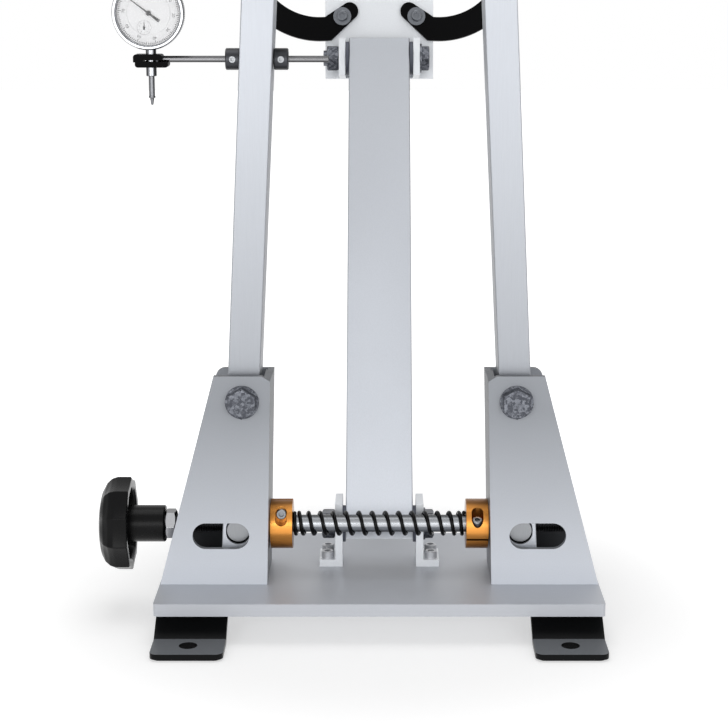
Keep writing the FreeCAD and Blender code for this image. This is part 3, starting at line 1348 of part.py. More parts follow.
def build_dial():
    """The dial gauge: case and stem, face, crystal, bezel, plunger and pointers."""
    half = "case_diameter / 2"
    back = "case_front - case_depth"
    case = turned("gauge_case_form", [
        ("0", back), (half + " - 2", back), (half, back + " + 2"), (half, "case_front - fit"),
        (half + " - case_wall", "case_front - fit"),
        (half + " - case_wall", "case_front - face_thickness - fit"),
        (half + " - 2 * case_wall", "case_front - face_thickness - fit"),
        (half + " - 2 * case_wall", back + " + case_wall"), ("0", back + " + case_wall")])
    facing(case)
    tube = turned("gauge_stem_form", [
        ("plunger_diameter / 2 + fit", "-stem_bottom"),
        ("stem_diameter / 2 - 0.4", "-stem_bottom"), ("stem_diameter / 2", "-stem_bottom + 0.4"),
        ("stem_diameter / 2", "dial_rise - case_diameter / 2 + case_wall + 0.5"),
        ("plunger_diameter / 2 + fit", "dial_rise - case_diameter / 2 + case_wall + 0.5")])
    place(tube, "-dial_reach", "screw_line", "gauge_z")
    neck = turned("gauge_neck_form", [
        ("plunger_diameter / 2 + fit", "0"), ("stem_diameter / 2", "0"),
        ("stem_diameter / 2", "4.5"), ("plunger_diameter / 2 + fit", "4.5")])
    place(neck, "-dial_reach", "screw_line", "dial_z + case_diameter / 2 - case_wall - 0.5")
    hole = doc.addObject("Part::Cylinder", "plunger_bore")
    bind(hole, "Radius", "plunger_diameter / 2 + fit")
    bind(hole, "Height", "2 * case_diameter")
    place(hole, "-dial_reach", "screw_line", "dial_z - case_diameter")
    union = doc.addObject("Part::MultiFuse", "gauge_case_blank")
    union.Shapes = [case, tube, neck]
    bored = doc.addObject("Part::Cut", "gauge_case_bored")
    bored.Base = union
    bored.Tool = hole
    node(bored, "gauge_case")

    face = turned("gauge_face", [
        ("0.8 + fit", "case_front - face_thickness"),
        (half + " - case_wall - fit", "case_front - face_thickness"),
        (half + " - case_wall - fit", "case_front - 0.1"), ("face_radius", "case_front - 0.1"),
        ("face_radius", "case_front + face_rise"), ("0.8 + fit", "case_front + face_rise")])
    hole = sketch_on(face, "XY_Plane")
    circle(hole, "-counter_left", "-counter_drop", "0.5 + fit")
    pocket(face, hole, along=True)
    facing(face)
    node(face, "gauge_face")

    scale = turned("gauge_scale", [
        ("face_radius + 0.1", "case_front + 0.1"),
        ("bezel_window / 2 - fit", "case_front + 0.1"),
        ("bezel_window / 2 - fit", "case_front + face_rise"),
        ("face_radius + 0.1", "case_front + face_rise")])
    facing(scale)
    node(scale, "gauge_scale")

    front = "case_front + bezel_depth"
    crystal = turned("gauge_crystal", [
        ("0", front + " - bezel_lip - crystal_thickness"),
        ("bezel_window / 2 - fit", front + " - bezel_lip - crystal_thickness"),
        ("bezel_window / 2 - fit", front + " - bezel_lip"), ("0", front + " - bezel_lip")])
    facing(crystal)
    node(crystal, "gauge_crystal")

    edge = "bezel_diameter / 2"
    bezel = turned("gauge_bezel", [
        ("bezel_window / 2", "case_front + 2 * fit"),
        (half + " + fit", "case_front + 2 * fit"), (half + " + fit", "case_front - 2.5"),
        (edge + " - 0.4", "case_front - 2.5"), (edge, "case_front - 2.1"),
        (edge, front + " - 1.6"), (edge + " - 1.6", front),
        ("bezel_window / 2", front)])
    facing(bezel)
    node(bezel, "gauge_bezel")

    length = "dial_rise + case_diameter / 2 + 2 + fit + plunger_bottom"
    plunger = turned("gauge_plunger", [
        ("0", "-contact_length"), ("0.9", "-contact_length + 0.4"), ("1.6", "-1.6"),
        ("2.6", "-1.4"), ("2.6", "0"), ("plunger_diameter / 2", "0"),
        ("plunger_diameter / 2", length), ("cap_diameter / 2", length),
        ("cap_diameter / 2", length + " + cap_length - 1"),
        ("cap_diameter / 2 - 1", length + " + cap_length"), ("0", length + " + cap_length")])
    place(plunger, "-dial_reach", "screw_line", "gauge_z - plunger_bottom")
    node(plunger, "gauge_plunger")

    build_pointer("gauge_pointer", "hand_length", "hand_tail", "hand_width", "1.9", "0.8",
                  "case_front + 1.5", "-dial_reach", "dial_z", "hand_turn")
    build_pointer("counter_pointer", "counter_hand", "1.6", "0.7", "0.9", "0.5",
                  "case_front + 0.8", "-(dial_reach + counter_left)", "dial_z - counter_drop", "0")


def build_pointer(label, reach, tail, width, boss, pivot, level, x, z, turn):
    """A tapered pointer on its pivot pin, in front of the face."""
    body = new_body(label)
    flat = sketch_on(body, "XZ_Plane", level)
    outline(flat, [
        ("-(%s) / 2" % width, "0"), ("-(%s)" % width, "-(%s)" % tail),
        (width, "-(%s)" % tail), ("(%s) / 2" % width, "0"),
        ("0.15", reach), ("-0.15", reach)])
    pad(body, flat, "hand_thickness")
    disc = sketch_on(body, "XZ_Plane", level)
    circle(disc, "0", "0", boss)
    pad(body, disc, "hand_thickness * 1.2")
    pin = sketch_on(body, "XZ_Plane", level)
    circle(pin, "0", "0", pivot)
    pad(body, pin, "(%s) - case_front + face_thickness + 1" % level, against=True)
    place(body, x, "screw_line", z, Y_AXIS, "-(%s)" % turn)
    node(body, label)


def build_gauge():
    """The whole dial gauge on its rod."""
    build_gauge_rod()
    build_clamp()
    build_dial()


# ---------------------------------------------------------------- checks and export

def check_document():
    """Stop if a feature failed or a sub-part has no sound shape."""
    for item in doc.Objects:
        if "Invalid" in item.State or "Error" in item.State:
            raise RuntimeError("%s (%s) failed" % (item.Name, item.Label))
    for item in nodes:
        if item.Shape.isNull() or not item.Shape.isValid() or not item.Shape.Solids:
            raise RuntimeError("%s has no sound shape" % item.Label)


def export():
    """Write each sub-part to its own file."""
    os.makedirs("parts", exist_ok=True)
    for item in nodes:
        item.Shape.exportStep(os.path.join("parts", item.Label + ".step"))
        box = item.Shape.BoundBox
        print("%-22s %2d solids  x %.1f..%.1f  y %.1f..%.1f  z %.1f..%.1f" % (
            item.Label, len(item.Shape.Solids), box.XMin, box.XMax, box.YMin, box.YMax,
            box.ZMin, box.ZMax))


fill_sheet()
build_base()
build_towers()
build_lead_screw()
build_uprights()
build_post()
build_caliper()
build_gauge()
doc.recompute()
check_document()
export()
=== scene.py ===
"""The finished look of a bicycle wheel truing stand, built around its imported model.

Metres, in the model's own frame: +X to the right along the lead screw, +Y away from
the user, +Z up, and the origin on the bench at the middle of the base plate.  Shapes
are worked out in millimetres and scaled as they become meshes.  Most pieces are the
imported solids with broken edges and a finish.  The knob, the coil spring, the threaded
screw, the gauge's bezel and print and the knurled pins are surfaces worked out here.
"""
import math

import bmesh
import bpy
import numpy as np
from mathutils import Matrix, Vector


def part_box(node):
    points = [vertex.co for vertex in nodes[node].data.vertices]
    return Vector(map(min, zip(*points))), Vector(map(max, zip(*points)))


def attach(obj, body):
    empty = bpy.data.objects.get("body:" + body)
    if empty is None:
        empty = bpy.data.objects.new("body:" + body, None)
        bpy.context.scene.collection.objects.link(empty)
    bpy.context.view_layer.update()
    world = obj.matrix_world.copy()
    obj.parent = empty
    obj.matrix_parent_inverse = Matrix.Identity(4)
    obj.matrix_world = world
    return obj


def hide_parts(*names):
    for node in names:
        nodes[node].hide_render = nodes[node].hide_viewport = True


MM = 0.001
TAU = 2 * math.pi

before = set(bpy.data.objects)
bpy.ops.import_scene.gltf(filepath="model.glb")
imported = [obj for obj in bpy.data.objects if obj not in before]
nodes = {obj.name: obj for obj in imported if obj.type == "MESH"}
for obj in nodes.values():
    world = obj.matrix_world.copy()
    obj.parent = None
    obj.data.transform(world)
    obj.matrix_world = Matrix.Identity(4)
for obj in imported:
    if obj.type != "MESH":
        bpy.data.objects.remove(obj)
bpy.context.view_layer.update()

# Where pieces stand, in millimetres: the lead screw's line, the dial's middle, and the
# middle of the turn counter, right of and above the dial's.
SCREW_Y, SCREW_Z = -12.0, 74.0
DIAL = (-174.5, -12.0, 479.6)
COUNTER_X, COUNTER_Z = -3.5, -10.8

# The dial's print: how far it stands before the dial's middle, its thickness, and how
# far its scale is turned clockwise.
PRINT_FRONT, INK = 9.7, 0.05
SCALE_TURN = math.radians(23)

# New meshes: points nearer than DOUBLES are merged and edges under SPECK dropped, in
# metres.  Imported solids: points nearer than WELD are merged, faces that meet under
# FLAT degrees joined, and edges over BROKEN degrees bevelled.
DOUBLES, SPECK = 2e-6, 1e-7
WELD, FLAT, BROKEN = 5e-6, 0.6, 38

# The light all round, and each lamp's place in metres, width and power.
AMBIENT = 0.38
LAMP_TARGET = (0, 0, 0.1)
LAMPS = {
    "key": ((-0.6, -1.8, 0.5), 1.0, 9),
    "fill": ((0.7, -1.8, 0.4), 1.2, 9),
    "top": ((0.0, 0.1, 2.0), 1.4, 10),
}

# The camera: its place in metres, its tilt downwards in degrees, and its focal length
# and sideways shift in pixels of a frame this wide.
CAMERA_PLACE, CAMERA_TILT = (0, -1.429, 0.520), 12.5
FRAME_WIDTH, FOCAL_LENGTH, SHIFT = 728.0, 1830.0, -15.3


# ---------------------------------------------------------------- surfaces

def full_turn(steps):
    """Equal angles round a circle."""
    return np.linspace(0, TAU, steps, endpoint=False)


def ring_faces(rings, steps):
    """Quads between neighbouring rings of points, each ring closed on itself."""
    ring, step = np.meshgrid(np.arange(rings - 1), np.arange(steps), indexing="ij")
    after = (step + 1) % steps
    quads = np.stack([ring * steps + step, (ring + 1) * steps + step,
                      (ring + 1) * steps + after, ring * steps + after], axis=-1)
    return quads.reshape(-1, 4)


def capped(faces, steps):
    """Ring faces with flat caps on the first and the last ring."""
    rim = np.arange(steps)
    last = faces.max() - steps + 1
    return faces.tolist() + [rim.tolist(), (last + rim).tolist()]


def rounded(corners, radius, steps):
    """A profile whose inner corners are replaced by curves: between points A and B, one
    radius before and after corner C but less than half a side away, runs
    (1-s)^2 A + 2s(1-s) C + s^2 B.  Doubled points are dropped."""
    corner = np.array(corners, float)
    before, after = np.roll(corner, 1, 0), np.roll(corner, -1, 0)
    back, ahead = before - corner, after - corner
    most, least, apart = 0.45, 1e-9, 1e-6
    reach = np.full(len(corner), float(radius))
    reach[[0, -1]] = 0.0
    back_length = np.maximum(np.linalg.norm(back, axis=1), least)
    ahead_length = np.maximum(np.linalg.norm(ahead, axis=1), least)
    cut = np.minimum(reach, most * np.minimum(back_length, ahead_length))[:, None]
    start = corner + back / back_length[:, None] * cut
    end = corner + ahead / ahead_length[:, None] * cut
    s = np.linspace(0, 1, steps)[None, :, None]
    curve = ((1 - s) ** 2 * start[:, None] + 2 * s * (1 - s) * corner[:, None]
             + s ** 2 * end[:, None])
    points = curve.reshape(-1, 2)
    keep = np.ones(len(points), bool)
    keep[1:] = np.linalg.norm(np.diff(points, axis=0), axis=1) > apart
    return points[keep]


def rings(radius, height, steps):
    """Rings about Z: the point at height h and angle a is (r cos a, r sin a, h), where
    r is given for each height, or for each height and angle."""
    angle = full_turn(steps)
    radius = np.broadcast_to(radius, (len(height), steps))
    points = np.stack([radius * np.cos(angle), radius * np.sin(angle),
                       np.repeat(height[:, None], steps, axis=1)], axis=-1)
    return points.reshape(-1, 3), ring_faces(len(height), steps)


def turned(profile, steps):
    """A profile of (radius, height) turned about Z."""
    radius, height = np.asarray(profile, float).T
    return rings(radius[:, None], height, steps)


def tube(line, radius, steps):
    """A round tube along a line: each point P of the line gives a ring
    P + radius (N cos a + B sin a), with N and B square to the line."""
    along = np.gradient(line, axis=0)
    along /= np.linalg.norm(along, axis=1)[:, None]
    outward = line * np.array([0, 1, 1])
    normal = outward - along * np.sum(outward * along, axis=1)[:, None]
    normal /= np.linalg.norm(normal, axis=1)[:, None]
    other = np.cross(along, normal)
    angle = full_turn(steps)[:, None]
    ring = normal[:, None] * np.cos(angle) + other[:, None] * np.sin(angle)
    points = line[:, None] + ring * radius
    return points.reshape(-1, 3), ring_faces(len(line), steps)


def trapezium(phase, slope, flat):
    """A trapezium wave: slope |p - 1/2| - flat, kept between 0 and 1, where p is what
    the phase has past a whole number."""
    return np.clip(np.abs(phase % 1 - 0.5) * slope - flat, 0, 1)


def along_x(points):
    """Lay a piece made along Z down along X: (x, y, z) becomes (z, y, -x)."""
    return points[:, [2, 1, 0]] * np.array([1, 1, -1])


def facing_user(points):
    """Turn a piece made along Z to face the user: (x, y, z) becomes (x, -z, y)."""
    return points[:, [0, 2, 1]] * np.array([1, -1, 1])


def at(points, x, y, z):
    """Move points to a place."""
    return points + np.array([x, y, z])


def joined(shapes):
    """Several shapes of points and faces as one."""
    counts = np.cumsum([0] + [len(points) for points, _ in shapes])
    points = np.concatenate([points for points, _ in shapes])
    faces = []
    for start, (_, shape_faces) in zip(counts, shapes):
        faces += [[int(index) + int(start) for index in face] for face in shape_faces]
    return points, faces


def new_piece(name, points, faces, body, finish, sharp=35):
    """Make a shape, given in millimetres, a piece of the stand that rides on a body.
    Doubled points at seams and poles are merged, faces turned outwards, and edges over
    the sharp angle, in degrees, kept crisp."""
    mesh = bpy.data.meshes.new(name)
    flat = faces.tolist() if isinstance(faces, np.ndarray) else faces
    mesh.from_pydata((np.asarray(points) * MM).tolist(), [], flat)
    work = bmesh.new()
    work.from_mesh(mesh)
    bmesh.ops.remove_doubles(work, verts=work.verts, dist=DOUBLES)
    bmesh.ops.dissolve_degenerate(work, dist=SPECK, edges=work.edges)
    bmesh.ops.recalc_face_normals(work, faces=work.faces)
    work.to_mesh(mesh)
    work.free()
    mesh.polygons.foreach_set("use_smooth", np.ones(len(mesh.polygons), bool))
    mesh.set_sharp_from_angle(angle=math.radians(sharp))
    piece = bpy.data.objects.new(name, mesh)
    bpy.context.scene.collection.objects.link(piece)
    mesh.materials.append(finish)
    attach(piece, body)
    return piece


# ---------------------------------------------------------------- finishes

def linear(colour):
    """A screen colour of 0 to 255 as the linear values a shader takes."""
    screen = np.array(colour, float) / 255
    low, high = screen / 12.92, ((screen + 0.055) / 1.055) ** 2.4
    return (*np.where(screen <= 0.04045, low, high).tolist(), 1.0)


def new_group(name, inputs, outputs):
    """A node group with named inputs and outputs."""
    tree = bpy.data.node_groups.new(name, "ShaderNodeTree")
    for label, kind, value in inputs:
        socket = tree.interface.new_socket(label, in_out="INPUT", socket_type=kind)
        if value is not None:
            socket.default_value = value
    for label, kind in outputs:
        tree.interface.new_socket(label, in_out="OUTPUT", socket_type=kind)
    return tree, tree.nodes.new("NodeGroupInput"), tree.nodes.new("NodeGroupOutput")


def node(tree, kind, links=None, **settings):
    """Add a node, set its properties, and link or fill its inputs."""
    made = tree.nodes.new(kind)
    for key, value in settings.items():
        setattr(made, key, value)
    for key, value in (links or {}).items():
        if isinstance(value, bpy.types.NodeSocket):
            tree.links.new(value, made.inputs[key])
        else:
            made.inputs[key].default_value = value
    return made


def calc(tree, operation, *values):
    """One Math node and its result."""
    made = node(tree, "ShaderNodeMath", dict(enumerate(values)), operation=operation)
    return made.outputs[0]


def put_out_scaled(tree, given, made, gain):
    """Put out a group's own colour, scaled by a gain."""
    tint = node(tree, "ShaderNodeVectorMath", {0: given.outputs["Colour"], "Scale": gain},
                operation="SCALE")
    tree.links.new(tint.outputs[0], made.inputs["Colour"])


def put_out_varied(tree, given, made, level, gain):
    """Put out a group's own colour scaled by 1 + level x gain, and its own roughness
    with level x spread added, where gain and spread are inputs of the group."""
    put_out_scaled(tree, given, made,
                   calc(tree, "MULTIPLY_ADD", level, given.outputs[gain], 1.0))
    rough = calc(tree, "MULTIPLY_ADD", level, given.outputs["Spread"],
                 given.outputs["Roughness"])
    tree.links.new(rough, made.inputs["Roughness"])


FLOAT, COLOUR, VECTOR = "NodeSocketFloat", "NodeSocketColor", "NodeSocketVector"
GREY = (0.8, 0.8, 0.8, 1)


def grain_group():
    """Fine speckle: a noise about its middle value makes the colour lighter and darker,
    spreads the roughness and gives a height."""
    tree, given, made = new_group("grain", [
        ("Vector", VECTOR, None), ("Scale", FLOAT, 900.0), ("Contrast", FLOAT, 0.1),
        ("Colour", COLOUR, GREY), ("Roughness", FLOAT, 0.4),
        ("Spread", FLOAT, 0.1)],
        [("Colour", COLOUR), ("Roughness", FLOAT), ("Height", FLOAT)])
    noise = node(tree, "ShaderNodeTexNoise", {
        "Vector": given.outputs["Vector"], "Scale": given.outputs["Scale"], "Detail": 3.0,
        "Roughness": 0.65})
    level = calc(tree, "SUBTRACT", noise.outputs[0], 0.5)
    put_out_varied(tree, given, made, level, "Contrast")
    tree.links.new(noise.outputs[0], made.inputs["Height"])
    return tree


def cloud_group():
    """Slow variation over a hand's width, such as handling marks and anodising shade.
    It scales a colour and adds to a roughness."""
    tree, given, made = new_group("cloud", [
        ("Vector", VECTOR, None), ("Scale", FLOAT, 12.0), ("Shade", FLOAT, 0.05),
        ("Colour", COLOUR, GREY), ("Roughness", FLOAT, 0.4),
        ("Spread", FLOAT, 0.1)], [("Colour", COLOUR), ("Roughness", FLOAT)])
    noise = node(tree, "ShaderNodeTexNoise", {
        "Vector": given.outputs["Vector"], "Scale": given.outputs["Scale"], "Detail": 4.0,
        "Distortion": 0.6})
    level = calc(tree, "SUBTRACT", noise.outputs[0], 0.5)
    put_out_varied(tree, given, made, level, "Shade")
    return tree


def mottle_group():
    """Dipped or oxidised steel.  Crystals from a cell pattern, broken up by a noise,
    mix a dark and a light tone, and give roughness and height."""
    tree, given, made = new_group("mottle", [
        ("Vector", VECTOR, None), ("Scale", FLOAT, 500.0),
        ("Dark", COLOUR, (0.05, 0.05, 0.05, 1)), ("Light", COLOUR, (0.3, 0.3, 0.3, 1)),
        ("Balance", FLOAT, 0.5)],
        [("Colour", COLOUR), ("Roughness", FLOAT), ("Height", FLOAT)])
    cells = node(tree, "ShaderNodeTexVoronoi", {
        "Vector": given.outputs["Vector"], "Scale": given.outputs["Scale"]})
    finer, cell_share, noise_share, smoothest = 2.6, 0.55, 0.75, 0.22
    fine = calc(tree, "MULTIPLY", given.outputs["Scale"], finer)
    noise = node(tree, "ShaderNodeTexNoise", {
        "Vector": given.outputs["Vector"], "Scale": fine, "Detail": 5.0})
    tone = node(tree, "ShaderNodeSeparateColor", {0: cells.outputs["Color"]}).outputs[0]
    both = calc(tree, "ADD", calc(tree, "MULTIPLY", tone, cell_share),
                calc(tree, "MULTIPLY", noise.outputs[0], noise_share))
    mask = node(tree, "ShaderNodeMapRange", {
        "Value": both, "From Min": given.outputs["Balance"], "From Max": 1.05})
    mix = node(tree, "ShaderNodeMix", {
        0: mask.outputs[0], 6: given.outputs["Dark"], 7: given.outputs["Light"]},
        data_type="RGBA")
    rough = calc(tree, "MULTIPLY_ADD", both, smoothest, smoothest)
    tree.links.new(mix.outputs[2], made.inputs["Colour"])
    tree.links.new(rough, made.inputs["Roughness"])
    tree.links.new(both, made.inputs["Height"])
    return tree


def turning_group():
    """Painted shade and highlight: a surface is painted darker as it turns away from an
    axis, so a round piece looks lit along its middle; the colour is scaled by a smooth
    step of the normal's share along that axis, |n . a|."""
    tree, given, made = new_group("painted_shade_turning", [
        ("Normal", VECTOR, None), ("Axis", VECTOR, (0, 1, 0)), ("Edge", FLOAT, 0.4),
        ("Start", FLOAT, 0.35), ("End", FLOAT, 0.92),
        ("Colour", COLOUR, GREY)], [("Colour", COLOUR)])
    share = node(tree, "ShaderNodeVectorMath", {
        0: given.outputs["Normal"], 1: given.outputs["Axis"]},
        operation="DOT_PRODUCT").outputs["Value"]
    gain = node(tree, "ShaderNodeMapRange", {
        "Value": calc(tree, "ABSOLUTE", share), "From Min": given.outputs["Start"],
        "From Max": given.outputs["End"], "To Min": given.outputs["Edge"], "To Max": 1.0},
        interpolation_type="SMOOTHSTEP").outputs[0]
    put_out_scaled(tree, given, made, gain)
    return tree


def fade_group():
    """Painted light and shade up a piece: the colour is scaled from one tone to another
    between two heights."""
    tree, given, made = new_group("fade", [
        ("Vector", VECTOR, None), ("Low", FLOAT, 0.0), ("High", FLOAT, 1.0),
        ("Low tone", FLOAT, 1.0), ("High tone", FLOAT, 1.0),
        ("Colour", COLOUR, GREY)], [("Colour", COLOUR)])
    height = node(tree, "ShaderNodeSeparateXYZ", {0: given.outputs["Vector"]}).outputs[2]
    gain = node(tree, "ShaderNodeMapRange", {
        "Value": height, "From Min": given.outputs["Low"],
        "From Max": given.outputs["High"], "To Min": given.outputs["Low tone"],
        "To Max": given.outputs["High tone"]}).outputs[0]
    put_out_scaled(tree, given, made, gain)
    return tree


def inside_group():
    """Painted shade for the hollow of a tower: where a surface faces the user, lies
    behind a depth and below a height, the colour is scaled by a tone, which eases off
    over the next part of the height."""
    tree, given, made = new_group("painted_inside_shade", [
        ("Vector", VECTOR, None), ("Normal", VECTOR, None), ("Depth", FLOAT, 0.01),
        ("Height", FLOAT, 0.1), ("Tone", FLOAT, 0.1),
        ("Colour", COLOUR, GREY)], [("Colour", COLOUR)])
    to_user, over = -0.5, 1.4
    place = node(tree, "ShaderNodeSeparateXYZ", {0: given.outputs["Vector"]})
    facing = node(tree, "ShaderNodeSeparateXYZ", {0: given.outputs["Normal"]})
    deep = calc(tree, "MULTIPLY",
                calc(tree, "GREATER_THAN", place.outputs[1], given.outputs["Depth"]),
                calc(tree, "LESS_THAN", facing.outputs[1], to_user))
    low = node(tree, "ShaderNodeMapRange", {
        "Value": place.outputs[2], "From Min": given.outputs["Height"],
        "From Max": calc(tree, "MULTIPLY", given.outputs["Height"], over),
        "To Min": 1.0, "To Max": 0.0}).outputs[0]
    darker = calc(tree, "SUBTRACT", given.outputs["Tone"], 1.0)
    gain = calc(tree, "MULTIPLY_ADD", calc(tree, "MULTIPLY", deep, low), darker, 1.0)
    put_out_scaled(tree, given, made, gain)
    return tree


GRAIN, CLOUD, MOTTLE = grain_group(), cloud_group(), mottle_group()
PAINTED_SHADE_TURNING, PAINTED_LIGHT_FADE, PAINTED_INSIDE_SHADE = turning_group(), fade_group(), inside_group()


def new_finish(name, metallic=0.0, ior=1.5):
    """A material, its nodes and its shader."""
    finish = bpy.data.materials.new(name)
    finish.use_nodes = True
    tree = finish.node_tree
    shader = tree.nodes["Principled BSDF"]
    shader.inputs["Metallic"].default_value = metallic
    shader.inputs["IOR"].default_value = ior
    return finish, tree, shader


def stretched(tree, stretch=(1, 1, 1)):
    """The object's coordinates, scaled along each axis."""
    place = node(tree, "ShaderNodeTexCoord")
    return node(tree, "ShaderNodeMapping", {
        "Vector": place.outputs["Object"], "Scale": stretch}).outputs[0]


def surface_normal(tree):
    """The way the surface faces, in the object's own frame."""
    return node(tree, "ShaderNodeTexCoord").outputs["Normal"]


def use(tree, group, values):
    """Place a group with its values and links, and give its outputs."""
    return node(tree, "ShaderNodeGroup", values, node_tree=group).outputs


def cover(tree, shader, colour, roughness):
    """Drive the shader's colour and roughness."""
    tree.links.new(colour, shader.inputs["Base Color"])
    tree.links.new(roughness, shader.inputs["Roughness"])


def bump(tree, shader, height, distance):
    """Drive the shader's normal from a height, over a distance in millimetres."""
    relief = node(tree, "ShaderNodeBump", {"Height": height, "Distance": distance * MM})
    tree.links.new(relief.outputs[0], shader.inputs["Normal"])


def speckled(name, colour, roughness, scale=900, contrast=0.1, stretch=(1, 1, 1),
             relief=0.01, shade=0.05, metallic=0.0, ior=1.5, edge=1.0, axis=(0, 1, 0),
             turn_from=(0.35, 0.92), painted_light_fades=(), painted_inside_shade=None):
    """A finish of one colour with slow random shading under a fine grain.  Painted shade
    and
    highlight: its colour is scaled down to edge where the surface turns away from an
    axis.
    Painted light and shade: between given heights it is scaled from one tone to another.
    Painted shade in a tower's hollow: behind a depth and below a height it is scaled to a
    tone."""
    finish, tree, shader = new_finish(name, metallic, ior)
    place, spread = stretched(tree), 0.12
    slow = use(tree, CLOUD, {
        "Vector": place, "Shade": shade, "Colour": linear(colour),
        "Roughness": roughness, "Spread": spread})
    fine = use(tree, GRAIN, {
        "Vector": stretched(tree, stretch), "Scale": scale, "Contrast": contrast,
        "Colour": slow["Colour"], "Roughness": slow["Roughness"], "Spread": spread})
    tint = fine["Colour"]
    # Painted shade and highlight by how the surface faces an axis.
    if edge < 1:
        start, end = turn_from
        tint = use(tree, PAINTED_SHADE_TURNING, {
            "Normal": surface_normal(tree), "Axis": axis, "Edge": edge, "Start": start,
            "End": end, "Colour": tint})["Colour"]
    # Painted light and shade between heights.
    for low, high, low_tone, high_tone in painted_light_fades:
        tint = use(tree, PAINTED_LIGHT_FADE, {
            "Vector": place, "Low": low, "High": high, "Low tone": low_tone,
            "High tone": high_tone, "Colour": tint})["Colour"]
    # Painted shade on the back wall within a tower.
    if painted_inside_shade:
        depth, height, tone = painted_inside_shade
        tint = use(tree, PAINTED_INSIDE_SHADE, {
            "Vector": place, "Normal": surface_normal(tree), "Depth": depth,
            "Height": height, "Tone": tone, "Colour": tint})["Colour"]
    cover(tree, shader, tint, fine["Roughness"])
    bump(tree, shader, fine["Height"], relief)
    return finish


def mottled(name, dark, light, scale, relief):
    """A crystalline steel finish."""
    finish, tree, shader = new_finish(name, metallic=0.9)
    spots = use(tree, MOTTLE, {
        "Vector": stretched(tree), "Scale": scale, "Dark": linear(dark),
        "Light": linear(light), "Balance": 0.5})
    cover(tree, shader, spots["Colour"], spots["Roughness"])
    bump(tree, shader, spots["Height"], relief)
    return finish


def clear(name):
    """The gauge's crystal: see-through, with a clean reflection."""
    finish, tree, shader = new_finish(name)
    haze = use(tree, GRAIN, {
        "Vector": stretched(tree), "Scale": 150.0, "Contrast": 0.02,
        "Colour": (0.97, 0.98, 1, 1), "Roughness": 0.03, "Spread": 0.02})
    cover(tree, shader, haze["Colour"], haze["Roughness"])
    shader.inputs["Alpha"].default_value = 0.05
    return finish


ALONG_Z = (1, 1, 0.04)

